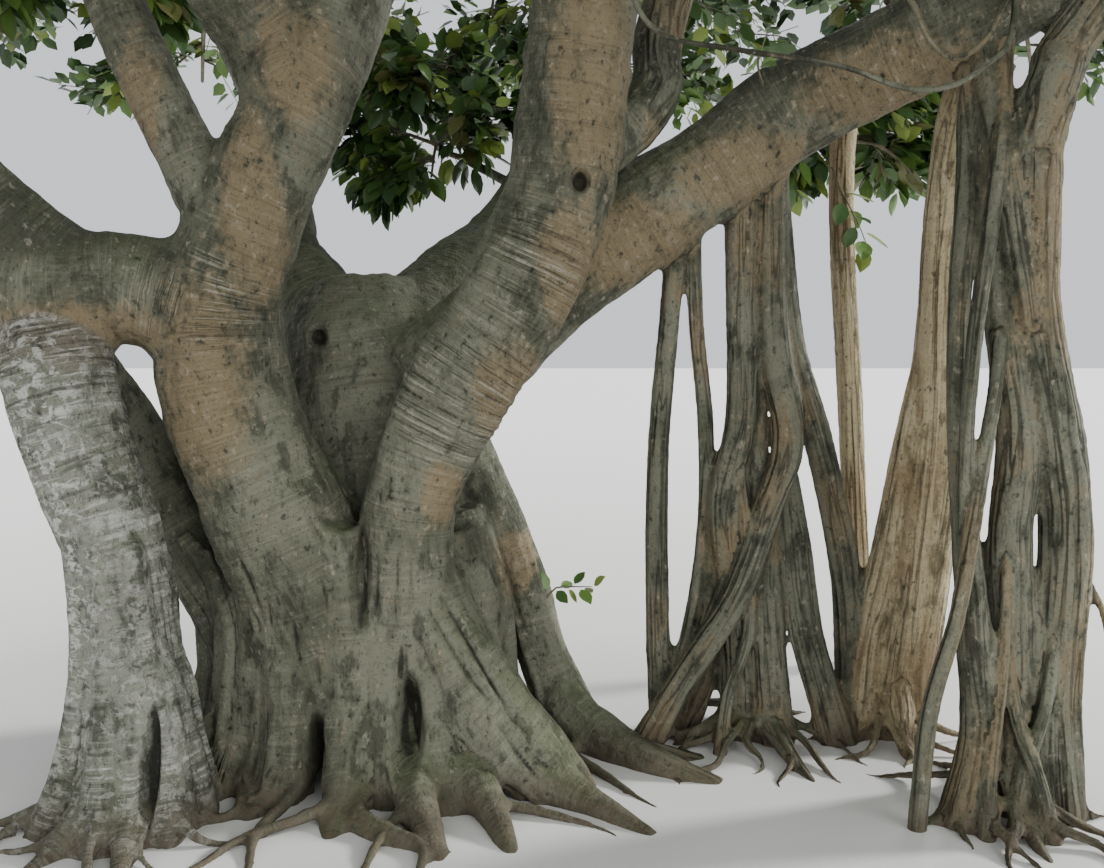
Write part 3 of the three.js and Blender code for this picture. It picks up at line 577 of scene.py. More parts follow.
# Noise in a space that is stretched: each factor is how many lumps there are to a metre
def noise(tree, vector, factors, detail=2.0, roughness=0.5, distortion=0.0):
    values = {"Vector": onVectors(tree, "MULTIPLY", vector, factors)[0], "Scale": 1.0, "Detail": detail,
              "Roughness": roughness, "Distortion": distortion}
    return put(tree, "ShaderNodeTexNoise", values).outputs[0]


# How near a place is to the nearest of some named spots: 1 at a spot's middle, 0 at its edge
def nearAny(tree, place, spots):
    nearest = 1.0
    for spot in spots:
        shrink = [1 / size for size in spot["size"]]
        shift = [-middle / size for middle, size in zip(spot["centre"], spot["size"])]
        away = onVectors(tree, "MULTIPLY_ADD", place, shrink, shift)[0]
        nearest = calc(tree, "MINIMUM", nearest, onVectors(tree, "LENGTH", away)["Value"])
    return step(tree, nearest, 1.0, 0.35)


# Spots from rows of six numbers: the middle, and how far the spot reaches along x, y and z
def spotsOf(*rows):
    return [{"centre": row[:3], "size": row[3:]} for row in rows]


modelling = {
    "ringSpacing": (0.014, 0.34),  # the least, and what the half thickness adds
    "sides": (10, 70),  # the least, and what the half thickness adds
    "voxel": 0.011,
    "spaceBetweenRuns": 7.3,  # keeps the pattern on one run apart from the next
}


def ringTube(piece, k):
    heart = piece["heart"]
    length = heart.length()
    middle = float(heart.thick(0.5)[0])
    spacing = modelling["ringSpacing"][0] + modelling["ringSpacing"][1] * middle
    shares = np.linspace(0, 1, max(4, math.ceil(length / spacing)))
    sides = round(modelling["sides"][0] + modelling["sides"][1] * middle)
    centres, headings, girths = heart.points(shares), heart.tangents(shares), heart.thick(shares)
    side = unit(np.cross(headings[0], [0.3, 1.0, 0.1]))
    frames = []
    for i, heading in enumerate(headings):
        side = unit(side - heading * side.dot(heading))
        frames.append(np.array([side, np.cross(heading, side), heading]))
        bpy.ops.mesh.primitive_circle_add(
            vertices=sides, radius=girths[i], location=centres[i],
            fill_type="NGON" if i in (0, len(shares) - 1) else "NOTHING",
            rotation=Matrix(frames[i].T).to_euler(),
        )
        if i == 0:
            bpy.ops.object.mode_set(mode="EDIT")
    bpy.ops.mesh.select_all(action="SELECT")
    bpy.ops.mesh.bridge_edge_loops()
    bpy.ops.object.mode_set(mode="OBJECT")
    bpy.ops.object.transform_apply(location=True, rotation=True, scale=True)
    tube = bpy.context.object
    # each corner knows where it would be on a straight limb that stands on the ground
    corners = cornersOf(tube)
    ring = np.arange(len(corners)) // sides
    straight = np.einsum("nij,nj->ni", np.array(frames)[ring], corners - centres[ring])
    straight[:, 2] = shares[ring] * length + k * modelling["spaceBetweenRuns"]
    keep(tube, "limbSpace", "FLOAT_VECTOR", straight)
    keep(tube, "girth", "FLOAT", girths[ring])
    return tube, shares[ring]


def cornersOf(piece):
    corners = np.empty(len(piece.data.vertices) * 3, dtype=np.float32)
    piece.data.vertices.foreach_get("co", corners)
    return corners.reshape(-1, 3)


# Stores numbers on a mesh, one for each point or face
def keep(piece, name, kind, values, domain="POINT"):
    attribute = piece.data.attributes.get(name) or piece.data.attributes.new(name, kind, domain)
    values = np.ascontiguousarray(values, dtype=np.float32).ravel()
    attribute.data.foreach_set("vector" if kind == "FLOAT_VECTOR" else "value", values)


def recall(piece, name, kind):
    attribute = piece.data.attributes[name]
    width = 3 if kind == "FLOAT_VECTOR" else 1
    values = np.empty(len(attribute.data) * width, dtype=np.float32)
    attribute.data.foreach_get("vector" if width == 3 else "value", values)
    return values.reshape(-1, width) if width == 3 else values


def pick(*pieces):
    bpy.ops.object.select_all(action="DESELECT")
    for piece in pieces:
        piece.select_set(True)
    bpy.context.view_layer.objects.active = pieces[0]


def slotOf(name):
    return pillars[name]["slot"] if name in pillars else "bark"


def modelTubes():
    tubes = []
    trunkNumber = list(wood).index("trunk")
    for number, (name, runs) in enumerate(wood.items()):
        for piece in runs:
            tube, shares = ringTube(piece, len(tubes))
            keep(tube, "woodNumber", "FLOAT", np.where(shares < piece["ownFrom"], trunkNumber, number))
            keep(tube, "own", "FLOAT", np.full(len(shares), slotOf(name) != "bark"))
            tubes.append(tube)
    pick(*tubes)
    bpy.ops.object.join()
    tubes[0].name = "tubes"
    return tubes[0]


tubes = modelTubes()
print("modelled the wood's tubes:", len(tubes.data.vertices), "points")


# the values that the bark's colours are worked out from
carried = {"limbSpace": "FLOAT_VECTOR", "girth": "FLOAT", "own": "FLOAT", "seam": "FLOAT", "hollow": "FLOAT"}
relief = {
    "broad": {"stretch": (4.5, 4.5, 2.4), "depth": 0.024},
    "muscle": {"stretch": (11.0, 11.0, 2.6), "depth": 0.011},
    "flutes": {"stretch": (12.0, 12.0, 1.2), "depth": 0.022, "width": 0.17, "between": (1.25, 0.3)},
    "rings": {"stretch": (2.2, 2.2, 30.0), "depth": 0.0012},
    "cracks": {"stretch": (24.0, 24.0, 12.0), "depth": 0.0022, "width": 0.06},
    "fine": {"stretch": (30.0, 30.0, 20.0), "depth": 0.003},
    "foldDepth": 0.010,
    "stout": (0.012, 0.16),  # half thicknesses between which the large forms come in
    "thin": (0.01, 0.06),  # and those between which the voxels' steps are softened in full
    "jump": (0.02, 0.06),  # how far the place along a limb jumps where two runs meet
    "blurs": {"own": 14, "voxels": 5, "seam": 6, "filletReach": 12, "fillet": 40, "hollow": 6},
    "holes": [
        {"centre": (0.770, -0.540, 2.04), "size": (0.04, 0.09, 0.05), "depth": 0.06},
        {"centre": (0.205, -0.54, 0.21), "size": (0.06, 0.22, 0.25), "depth": 0.12},
        {"centre": (-0.11, -0.56, 0.12), "size": (0.04, 0.22, 0.20), "depth": 0.09},
        {"centre": (-0.17, -0.12, 1.54), "size": (0.05, 0.14, 0.05), "depth": 0.05},
        {"centre": (-0.56, -0.84, 0.22), "size": (0.035, 0.2, 0.24), "depth": 0.08},
        {"centre": (0.040, -0.50, 0.76), "size": (0.042, 0.2, 0.25), "depth": 0.045},
    ],
}
# bends where the bark is pushed up in folds across the limb
folds = spotsOf(
    (0.36, -0.5, 1.36, 0.34, 0.4, 0.34),
    (0.62, -0.5, 1.80, 0.22, 0.4, 0.26),
    (-0.45, -0.5, 1.66, 0.26, 0.4, 0.22),
)


# Geometry nodes that carry the tubes' values over to the grown-together skin and give it its bark
def reliefNodes(tubes):
    tree = bpy.data.node_groups.new("woodRelief", "GeometryNodeTree")
    for side in ("INPUT", "OUTPUT"):
        tree.interface.new_socket("Geometry", in_out=side, socket_type="NodeSocketGeometry")
    geometry = tree.nodes.new("NodeGroupInput").outputs[0]
    source = put(tree, "GeometryNodeObjectInfo", {"Object": tubes}).outputs["Geometry"]
    position = put(tree, "GeometryNodeInputPosition").outputs[0]
    normal = put(tree, "GeometryNodeInputNormal").outputs[0]
    blurs = relief["blurs"]

    def named(name, kind="FLOAT"):
        node = put(tree, "GeometryNodeInputNamedAttribute", {"Name": name}, data_type=kind)
        return node.outputs["Attribute"]

    def store(name, value, kind="FLOAT", domain="POINT"):
        nonlocal geometry
        values = {"Geometry": geometry, "Name": name, "Value": value}
        node = put(tree, "GeometryNodeStoreNamedAttribute", values, data_type=kind, domain=domain)
        geometry = node.outputs[0]

    def carry(name, kind="FLOAT", domain="POINT"):
        values = {"Mesh": source, "Value": named(name, kind)}
        sample = put(tree, "GeometryNodeSampleNearestSurface", values, data_type=kind)
        store(name, sample.outputs["Value"], kind, domain)

    def blurred(value, rounds, kind="FLOAT"):
        values = {"Value": value, "Iterations": rounds}
        return put(tree, "GeometryNodeBlurAttribute", values, data_type=kind).outputs[0]

    # from a place to the mean of the places round it
    def toMean(rounds):
        return onVectors(tree, "SUBTRACT", blurred(position, rounds, "FLOAT_VECTOR"), position)[0]

    def move(way, far):
        nonlocal geometry
        values = {0: way, "Scale": far}
        offset = put(tree, "ShaderNodeVectorMath", values, operation="SCALE").outputs[0]
        geometry = put(tree, "GeometryNodeSetPosition", {"Geometry": geometry, "Offset": offset}).outputs[0]

    def layer(name, detail=2.0):
        return calc(tree, "SUBTRACT", noise(tree, along, relief[name]["stretch"], detail), 0.5)

    def lumps(name, detail=2.0):
        return times(tree, layer(name, detail), relief[name]["depth"] * 2)

    carry("limbSpace", "FLOAT_VECTOR")
    carry("girth")
    carry("own")
    carry("woodNumber", domain="FACE")
    store("own", blurred(named("own"), blurs["own"]))
    girth, along = named("girth"), named("limbSpace", "FLOAT_VECTOR")
    stout = step(tree, girth, *relief["stout"])

    # soften the steps that the voxels leave, less where the wood is thin
    move(toMean(blurs["voxels"]), step(tree, girth, *relief["thin"], 0.25, 1.0))

    # the line where two runs meet, where the place along the limb jumps, gets a fillet
    jump = onVectors(tree, "DISTANCE", blurred(along, 1, "FLOAT_VECTOR"), along)["Value"]
    store("seam", step(tree, jump, *relief["jump"]))
    store("seam", calc(tree, "MULTIPLY", blurred(named("seam"), blurs["seam"]), 2.2, clamp=True))
    wide = blurred(named("seam"), blurs["filletReach"])
    move(toMean(blurs["fillet"]), calc(tree, "MULTIPLY", wide, times(tree, stout, 1.6), clamp=True))

    height = put(tree, "ShaderNodeSeparateXYZ", {0: position}).outputs[2]
    large = times(tree, plus(tree, lumps("broad"), lumps("muscle")), stout)
    flutes = relief["flutes"]
    ridge = step(tree, calc(tree, "ABSOLUTE", layer("flutes", 1.0)), 0.0, flutes["width"])
    low = step(tree, height, *flutes["between"], 0.0, flutes["depth"])
    ridge = times(tree, calc(tree, "SUBTRACT", ridge, 0.75), stout, low)
    ringDepth = calc(tree, "MULTIPLY_ADD", nearAny(tree, position, folds), relief["foldDepth"],
                     relief["rings"]["depth"])
    rings = times(tree, layer("rings"), ringDepth, 3.0)
    cracks = relief["cracks"]
    cracks = step(tree, calc(tree, "ABSOLUTE", layer("cracks")), cracks["width"], 0.0, 0.0, -cracks["depth"])
    small = plus(tree, times(tree, cracks, named("own")), lumps("fine", 3.0), rings)
    small = times(tree, small, step(tree, girth, 0.0, 0.08, 0.25, 1.0))
    plain = calc(tree, "SUBTRACT", 1.0, named("seam"))
    store("lift", times(tree, plus(tree, large, ridge, small), plain))
    holes = [times(tree, nearAny(tree, position, [hole]), hole["depth"]) for hole in relief["holes"]]
    store("dent", plus(tree, *holes))
    move(normal, named("lift"))
    move((0.0, 1.0, 0.0), named("dent"))

    # how far a place lies in a hollow; the bark darkens hollows with painted shade and lightens ridges with
    # a painted highlight
    store("hollow", onVectors(tree, "DOT_PRODUCT", toMean(blurs["hollow"]), normal)["Value"])
    tree.links.new(geometry, tree.nodes.new("NodeGroupOutput").inputs[0])
    return tree


def applyModifier(piece, kind, **settings):
    pick(piece)
    bpy.ops.object.modifier_add(type=kind)
    modifier = piece.modifiers[-1]
    for name, value in settings.items():
        setattr(modifier, name, value)
    bpy.ops.object.modifier_apply(modifier=modifier.name)


def growSkin():
    pick(tubes)
    bpy.ops.object.duplicate()
    skin = bpy.context.object
    applyModifier(skin, "REMESH", mode="VOXEL", voxel_size=modelling["voxel"], use_smooth_shade=True)
    print("grew the wood together:", len(skin.data.polygons), "faces")
    applyModifier(skin, "NODES", node_group=reliefNodes(tubes))
    print("gave the wood its relief")
    return skin


skin = growSkin()


# Fewer, larger faces on the limbs high up and far out, which are never seen from close by
def easeFarWood():
    near = {"left": -1.5, "right": 2.65, "back": 1.1, "top": 2.9, "fade": 0.25, "eased": 0.86}
    x, y, z = cornersOf(skin).T
    far = np.max([near["left"] - x, x - near["right"], y - near["back"], z - near["top"]], axis=0)
    far = np.clip(far / near["fade"], 0, 1)
    farGroup = skin.vertex_groups.new(name="far")
    for weight in np.unique(np.round(far, 1)):
        farGroup.add(np.flatnonzero(np.round(far, 1) == weight).tolist(), float(weight), "REPLACE")
    kept = 1 - near["eased"] * float((far > 0.5).mean())
    applyModifier(skin, "DECIMATE", ratio=kept, vertex_group="far", vertex_group_factor=10.0)
    print("eased the far wood:", len(skin.data.polygons), "faces")


easeFarWood()


# Cuts every foot flat at the ground, and drops the crumbs that thin root tips leave there
def cutFeet():
    deep = 10.0
    bpy.ops.mesh.primitive_cube_add(size=2 * deep, location=(0, 0, -deep))
    belowGround = bpy.context.object
    applyModifier(skin, "BOOLEAN", operation="DIFFERENCE", object=belowGround, solver="MANIFOLD")
    applyModifier(skin, "TRIANGULATE", min_vertices=5)
    bpy.data.objects.remove(belowGround)
    bpy.ops.object.mode_set(mode="EDIT")
    bpy.ops.mesh.select_all(action="SELECT")
    bpy.ops.mesh.separate(type="LOOSE")
    bpy.ops.object.mode_set(mode="OBJECT")
    parts = sorted(bpy.context.selected_objects, key=lambda part: len(part.data.polygons))
    for crumb in parts[:-1]:
        bpy.data.objects.remove(crumb)
    return parts[-1]


def numbersOf(rows, key, each=1):
    values = np.empty(len(rows) * each, dtype=np.int32)
    rows.foreach_get(key, values)
    return values


# A point on the cut takes the values of the point above it, and a face on it those of the wall beside it
def tellCut():
    mesh = skin.data
    onGround = cornersOf(skin)[:, 2] < 1e-5
    ends = numbersOf(mesh.edges, "vertices", 2).reshape(-1, 2)
    above = np.arange(len(onGround))
    for a, b in (ends.T, ends.T[::-1]):
        rises = onGround[a] & ~onGround[b]
        above[a[rises]] = b[rises]
    for name, kind in carried.items():
        keep(skin, name, kind, recall(skin, name, kind)[above])
    first, sides = numbersOf(mesh.polygons, "loop_start"), numbersOf(mesh.polygons, "loop_total")
    corner = numbersOf(mesh.loops, "vertex_index")
    flat = np.minimum.reduceat(onGround[corner], first)
    wall = ~flat.repeat(sides)
    numbers = np.rint(recall(skin, "woodNumber", "FLOAT"))
    numberOfPoint = np.zeros(len(onGround))
    numberOfPoint[corner[wall]] = numbers.repeat(sides)[wall]
    numbers[flat] = numberOfPoint[corner[first[flat]]]
    keep(skin, "woodNumber", "FLOAT", numbers, "FACE")


skin = cutFeet()
tellCut()
print("cut the feet at the ground:", len(skin.data.polygons), "faces")


# Parts the skin into its pieces, each closed where it grew from its neighbour
def partSkin():
    skin.data.materials.clear()
    for name in wood:
        skin.data.materials.append(bpy.data.materials.new(name))
    numbers = recall(skin, "woodNumber", "FLOAT").astype(np.int32)
    skin.data.polygons.foreach_set("material_index", numbers)
    pick(skin)
    bpy.ops.object.mode_set(mode="EDIT")
    bpy.ops.mesh.separate(type="MATERIAL")
    bpy.ops.object.mode_set(mode="OBJECT")
    pieces = {}
    for piece in list(bpy.context.selected_objects):
        name = piece.data.materials[piece.data.polygons[0].material_index].name
        piece.name = name + "_bark"
        pick(piece)
        bpy.ops.object.mode_set(mode="EDIT")
        # each open rim is drawn in to one point
        bpy.ops.mesh.select_mode(type="EDGE")
        bpy.ops.mesh.select_all(action="DESELECT")
        bpy.ops.mesh.select_non_manifold(
            extend=False, use_wire=False, use_boundary=True,
            use_multi_face=False, use_non_contiguous=False, use_verts=False,
        )
        bpy.ops.mesh.extrude_region()
        bpy.ops.mesh.merge(type="COLLAPSE")
        bpy.ops.mesh.select_all(action="SELECT")
        bpy.ops.mesh.fill_holes(sides=0)
        bpy.ops.mesh.normals_make_consistent(inside=False)
        bpy.ops.object.mode_set(mode="OBJECT")
        bpy.ops.object.shade_smooth_by_angle(angle=math.radians(60))
        pieces[name] = piece
    bpy.data.objects.remove(tubes)
    return pieces


barkPieces = partSkin()
print("parted the wood into", len(barkPieces), "pieces")


# The crown. Each mass grows as in the plan: a stem, twigs to all sides and a spray at each leaf's place,
# and here each spray is a side twig with twiglets that carry the leaves.
growth = {
    "stem": {"rise": 0.3, "bend": 0.45, "shares": (0.8, 0.35)},
    "heights": (0.92, 1.62),  # where a ball's directions start, and how far down they go
    "goldenAngle": 2.39996,
    "twigRoots": (0.35, 0.6),  # where on the stem they start, and over how much of it
    "twigReach": (0.66, 0.1),
    "twigRise": (0.05, 0.12),
    "spots": (0.3, 0.64),  # where on a twig they start, and over how much of it
    "lastSpot": 0.97,
    "leafWidthShare": 0.66,
    "leafLift": 1.1,
    "leafRoll": 2.2,
    "trials": 6,
    "firstSeed": 100,
    "woodStep": 0.09,  # how closely the wood is looked at, to keep leaves out of it
    "batch": 4000,
    "kinds": {
        "outer_mass": {"twigs": 6, "thick": (0.024, 0.013), "spray": 0.98, "spots": 5},
        "middle_mass": {"twigs": 6, "thick": (0.024, 0.013), "spray": 0.98, "spots": 4},
        "top_mass": {"twigs": 6, "thick": (0.024, 0.013), "spray": 0.98, "spots": 4},
        "low_mass": {"twigs": 5, "thick": (0.011, 0.006), "spray": 0.33, "spots": 3},
    },
}
leafing = {
    "large": {"perSpot": 2, "twiglets": 12, "leaves": 7, "leaf": 0.150, "droop": 0.15, "sides": 3,
              "rim": [(0.42, 0.27), (0.80, 0.30)], "sideTwig": (0.009, 0.004), "twiglet": 0.0035},
    "low": {"perSpot": 6, "twiglets": 7, "leaves": 4, "leaf": 0.125, "droop": 0.55, "sides": 4,
            "rim": [(0.36, 0.20), (0.56, 0.30), (0.84, 0.27), (1.06, 0.13)],
            "sideTwig": (0.005, 0.003), "twiglet": 0.002},
}
tints = {
    "leafDark": ((0.026, 0.060, 0.016), 0.32),
    "leafGreen": ((0.046, 0.102, 0.022), 0.30),
    "leafFresh": ((0.092, 0.175, 0.030), 0.20),
    # a bright yellow-green tint that paints the glow of leaves lit from behind
    "leafBright": ((0.190, 0.260, 0.046), 0.13),
    "leafOlive": ((0.105, 0.112, 0.034), 0.05),
}


def woodPlaces():
    points, radii = [], []
    for runs in wood.values():
        for piece in runs:
            heart = piece["heart"]
            shares = np.linspace(0, 1, math.ceil(heart.length() / growth["woodStep"]) + 1)
            points.append(heart.points(shares))
            radii.append(heart.thick(shares))
    return np.concatenate(points), np.concatenate(radii)


placesOfWood, radiiOfWood = woodPlaces()


# True for each point that keeps a given distance from all wood
def clearOfWood(points, reach):
    points = np.atleast_2d(points)
    clear = np.empty(len(points), dtype=bool)
    for first in range(0, len(points), growth["batch"]):
        part = slice(first, first + growth["batch"])
        away = np.linalg.norm(points[part, None] - placesOfWood, axis=2)
        clear[part] = (away > radiiOfWood + reach + crown["leafAir"]).all(axis=1)
    return clear


# True for each point inside a mass's own space, and nearer to it than to any other mass
def inSpace(mass, points, swell=1.0):
    points = np.atleast_2d(points)
    inside = (((points - mass["centre"]) / (mass["size"] * swell)) ** 2).sum(axis=1) <= 1

    def power(one):
        away = (points - one["centre"]) * [1, 1, crown["flatness"]]
        return (away ** 2).sum(axis=1) - one["size"][0] ** 2

    mine = power(mass) + 2 * crown["cellAir"] * mass["size"][0]
    for other in masses.values():
        if other is not mass:
            inside &= mine < power(other)
    return inside


# A direction spread evenly over a ball, the k-th of a count, turned by a seeded start
def evenDirection(k, count, start):
    top, span = growth["heights"]
    height = top - span * (k + 0.5) / count
    bearing = start + k * growth["goldenAngle"]
    flat = math.sqrt(1 - height * height)
    return np.array([flat * math.cos(bearing), flat * math.sin(bearing), height])


def wayBetween(start, bend, end, thick):
    return Heart([[*start, thick[0]], [*bend, (thick[0] + thick[1]) / 2], [*end, thick[1]]])


# A mass's stem, which runs on from its bough up into the mass
def stemOf(mass):
    look = growth["stem"]
    heading = mass["carrier"].tangents(1)[0]
    start = mass["carrier"].points(1)[0] + heading * jointGap
    end = mass["centre"] + [0, 0, look["rise"] * mass["size"][2]]
    bend = start + heading * look["bend"] * np.linalg.norm(end - start)
    tip = float(mass["carrier"].thick(1)[0])
    return wayBetween(start, bend, end, [share * tip for share in look["shares"]])


# A mass's twigs: each forks from the stem and runs out to its own side, unless it would touch a limb
def twigsOf(mass, kind, stem, draw):
    count = kind["twigs"]
    (low, over), (least, more), rise = growth["twigRoots"], growth["twigReach"], growth["twigRise"]
    turn = draw() * math.pi * 2
    twigs = []
    for k in range(count):
        root = stem.points(low + over * (count - 1 - k) / count)[0]
        reach = least + more * draw()
        end = evenDirection(k, count, turn) * mass["size"] * reach + mass["centre"]
        middle = (root + end) / 2 + [0, 0, mass["size"][2] * (rise[0] + rise[1] * draw())]
        twig = wayBetween(root, middle, end, kind["thick"])
        if clearOfWood(twig.points([0.35, 0.6, 0.85, 1]), kind["thick"][0]).all():
            twigs.append(twig)
    return twigs


# The sprays at the j-th place of a twig, each as its root, its way along and across, and its length
def spraysAt(mass, kind, twig, j, draw):
    count = kind["spots"]
    last = j == count - 1
    low, over = growth["spots"]
    share = growth["lastSpot"] if last else low + over * (j + 0.3 * draw()) / (count - 1)
    root = twig.points(share)[0]
    onward = twig.tangents(share)[0]
    sideways = unit(np.cross(onward, [0, 0, 1]))
    sprays = []
    for _ in range(growth["trials"]):
        sway = 0.5 * (draw() - 0.5) if last else (1 if j % 2 else -1) * (0.6 + 0.8 * draw())
        along = onward * 0.7 + sideways * sway
        along[2] += growth["leafLift"] * (draw() - 0.5)
        along = unit(along)
        across = unit(np.cross(along, [0, 0, 1]))
        roll = growth["leafRoll"] * (draw() - 0.5)
        across = across * math.cos(roll) + np.cross(along, across) * math.sin(roll)
        length = kind["spray"] * (0.85 + 0.3 * draw())
        reach = root + np.outer([0.25, 0.5, 0.75, 1], along * length)
        rims = reach[1] + np.outer([-0.5, 0.5], across * length * growth["leafWidthShare"])
        places = np.vstack([reach, rims])
        if inSpace(mass, places).all() and clearOfWood(places, length * 0.1).all():
            sprays.append((root, along, across, length))
    return sprays


# Closed tubes from many lines at once: lines (count, stations, 3), radii the same without the 3
def tubeArrays(lines, radii, sides):
    count, stations = radii.shape
    headings = unit(np.gradient(lines, axis=1))
    side = unit(np.cross(headings, unit(np.array([0.31, 0.17, 0.93]))))
    other = np.cross(headings, side)
    angles = np.arange(sides) / sides * 2 * math.pi
    around = side[:, :, None] * np.cos(angles)[:, None] + other[:, :, None] * np.sin(angles)[:, None]
    points = lines[:, :, None] + around * radii[:, :, None, None]
    ring = np.arange(stations - 1)[:, None] * sides
    a, b = np.arange(sides), (np.arange(sides) + 1) % sides
    quads = np.stack([ring + a, ring + b, ring + sides + b, ring + sides + a], axis=2).reshape(-1, 4)
    first = np.arange(count)[:, None, None] * stations * sides
    caps = np.stack([np.arange(sides)[::-1], np.arange(sides) + (stations - 1) * sides])
    return points.reshape(-1, 3), [(first + quads).reshape(-1, 4), (first + caps).reshape(-1, sides)]


# A mesh object from points and blocks of faces, with a material number for each face if given
def meshFrom(name, points, blocks, tintOfFace=None):
    mesh = bpy.data.meshes.new(name)
    mesh.vertices.add(len(points))
    mesh.vertices.foreach_set("co", np.ascontiguousarray(points, dtype=np.float32).ravel())
    sizes = np.concatenate([np.full(len(block), block.shape[1]) for block in blocks])
    mesh.loops.add(int(sizes.sum()))
    corners = np.concatenate([block.ravel() for block in blocks])
    mesh.loops.foreach_set("vertex_index", corners.astype(np.int32))
    mesh.polygons.add(len(sizes))
    mesh.polygons.foreach_set("loop_start", (np.cumsum(sizes) - sizes).astype(np.int32))
    if tintOfFace is not None:
        mesh.polygons.foreach_set("material_index", tintOfFace.astype(np.int32))
    mesh.update(calc_edges=True)
    piece = bpy.data.objects.new(name, mesh)
    bpy.context.collection.objects.link(piece)
    return piece


def joinArrays(parts):
    points = np.concatenate([part[0] for part in parts])
    shift = np.cumsum([0] + [len(part[0]) for part in parts])[:-1]
    return points, [block + start for (_, blocks), start in zip(parts, shift) for block in blocks]


# One leaf lying along x: a stalk, then a blade that is folded up a little along its midrib
def leafTemplate(rim):
    stalk = [(0, -0.012, 0), (0, 0.012, 0), (0.2, 0, 0.0)]
    right = [(x, -y, 0.16 * y) for x, y in rim]
    left = [(x, y, 0.16 * y) for x, y in rim]
    outline = right + [(1.2, 0, -0.05)] + left[::-1]
    points = stalk + outline + [(0.66, 0, -0.015)]
    loop = [2] + list(range(3, 3 + len(outline))) + [2]
    middle = len(points) - 1
    faces = [(0, 2, 1)] + [(middle, a, b) for a, b in zip(loop, loop[1:])]
    return np.array(points), np.array(faces)


# Leaves as arrays: each at its hold, with its length, width and face as the rows of its axes
def layLeaves(rim, hold, axes, tint):
    template, faces = leafTemplate(rim)
    points = hold[:, None] + np.einsum("pk,nkj->npj", template, axes)
    faces = faces[None] + (np.arange(len(hold)) * len(template))[:, None, None]
    return points.reshape(-1, 3), [faces.reshape(-1, 3)], tint.repeat(len(faces[0]))


# The sprays of one mass: side twigs, twiglets and leaves, as arrays
def leafOut(mass, sprays, look, chance):
    root, along, across = (np.array([spray[i] for spray in sprays]) for i in range(3))
    length = np.array([spray[3] for spray in sprays])[:, None]
    flat = np.cross(along, across)
    count = len(sprays)

    # side twigs, each a bowed line that droops to its tip
    bow = (flat * chance.uniform(-0.1, 0.1, (count, 1)) + [0, 0, -0.05]) * length

    def sideTwig(t):
        return root[:, None] + (along * length)[:, None] * t[..., None] * 0.92 \
            + bow[:, None] * (4 * t * (1 - t) - 0.6 * look["droop"] * t * t)[..., None]

    stations = np.linspace(0, 1, 4)[None].repeat(count, axis=0)
    thick = np.linspace(*look["sideTwig"], 4)[None].repeat(count, axis=0)
    parts = [tubeArrays(sideTwig(stations), thick, look["sides"])]

    # twiglets to the left and right in turn, shorter and less spread towards the tip
    number = look["twiglets"]
    t = (np.linspace(0.14, 1, number) + chance.uniform(-0.03, 0.03, (count, number))).clip(0.1, 1)
    start = sideTwig(t)
    hand = np.where(np.arange(number) % 2, 1, -1)
    turn = hand * np.radians(62 - 26 * t) * chance.uniform(0.6, 1.15, t.shape)
    heading = along[:, None] * np.cos(turn)[..., None] + across[:, None] * np.sin(turn)[..., None]
    heading = unit(heading + flat[:, None] * chance.uniform(-0.55, 0.55, t.shape)[..., None])
    reach = length * (0.40 - 0.20 * t) * chance.uniform(0.75, 1.15, t.shape)
    start, heading, reach = start.reshape(-1, 3), heading.reshape(-1, 3), reach.ravel()[:, None]
    sag = np.array([0, 0, -0.25 * look["droop"]]) * reach
    end = start + heading * reach + sag
    lines = np.stack([start, end], axis=1)
    parts.append(tubeArrays(lines, np.full((len(lines), 2), look["twiglet"]), 3))

    # leaves to both sides along each twiglet, the last one at its tip
    leaves = look["leaves"]
    u = ((np.arange(leaves) + 1) / leaves)[None] ** 0.8
    hold = start[:, None] + (heading * reach + sag)[:, None] * u[..., None]
    aside = unit(np.cross(heading, flat.repeat(number, axis=0)))[:, None]
    hand = np.where(np.arange(leaves) % 2, 1.0, -1.0) * (np.arange(leaves) < leaves - 1)
    spread = hand * chance.uniform(0.7, 1.3, hold.shape[:2])
    way = heading[:, None] * 0.75 + aside * spread[..., None]
    way = way + chance.uniform(-0.45, 0.45, way.shape) + [0, 0, -look["droop"]]
    way = unit(way).reshape(-1, 3)
    hold = hold.reshape(-1, 3)
    size = look["leaf"] * chance.uniform(0.72, 1.2, (len(hold), 1))
    face = unit(np.array([0, 0, 1.0]) + chance.uniform(-0.75, 0.75, (len(hold), 3)))
    wide = unit(np.cross(face, way))
    face = np.cross(way, wide)
    # none outside the mass's space or the plan's box, and none in the wood
    tip = hold + way * size * 1.2
    good = inSpace(mass, tip, 1.04) & clearOfWood(hold + way * size * 0.7, -0.01)
    good &= ((tip > cadBox[0]) & (tip < cadBox[1])).all(axis=1)
    tint = chance.choice(len(tints), len(start), p=[share for _, share in tints.values()]).repeat(leaves)
    axes = np.stack([way, wide, face], axis=1) * size[:, :, None]
    return parts, layLeaves(look["rim"], hold[good], axes[good], tint[good])


def hearts(many, stations, sides):
    shares = np.linspace(0, 1, stations)
    return tubeArrays(np.array([heart.points(shares) for heart in many]),
                      np.array([heart.thick(shares) for heart in many]), sides)


def growMass(name, mass, seed):
    kind = growth["kinds"]["_".join(name.split("_")[:2])]
    look = leafing["low" if name.startswith("low") else "large"]
    draw = seeded(seed)
    chance = np.random.default_rng(seed)
    stem = stemOf(mass)
    twigs = twigsOf(mass, kind, stem, draw)
    sprays = []
    for twig in twigs:
        for j in range(kind["spots"]):
            sprays += spraysAt(mass, kind, twig, j, draw)[:look["perSpot"]]
    parts, leaves = leafOut(mass, sprays, look, chance)
    parts += [hearts([stem], 9, 8), hearts(twigs, 7, 6)]
    return meshFrom(name + "_twigs", *joinArrays(parts)), meshFrom(name + "_leaves", *leaves)


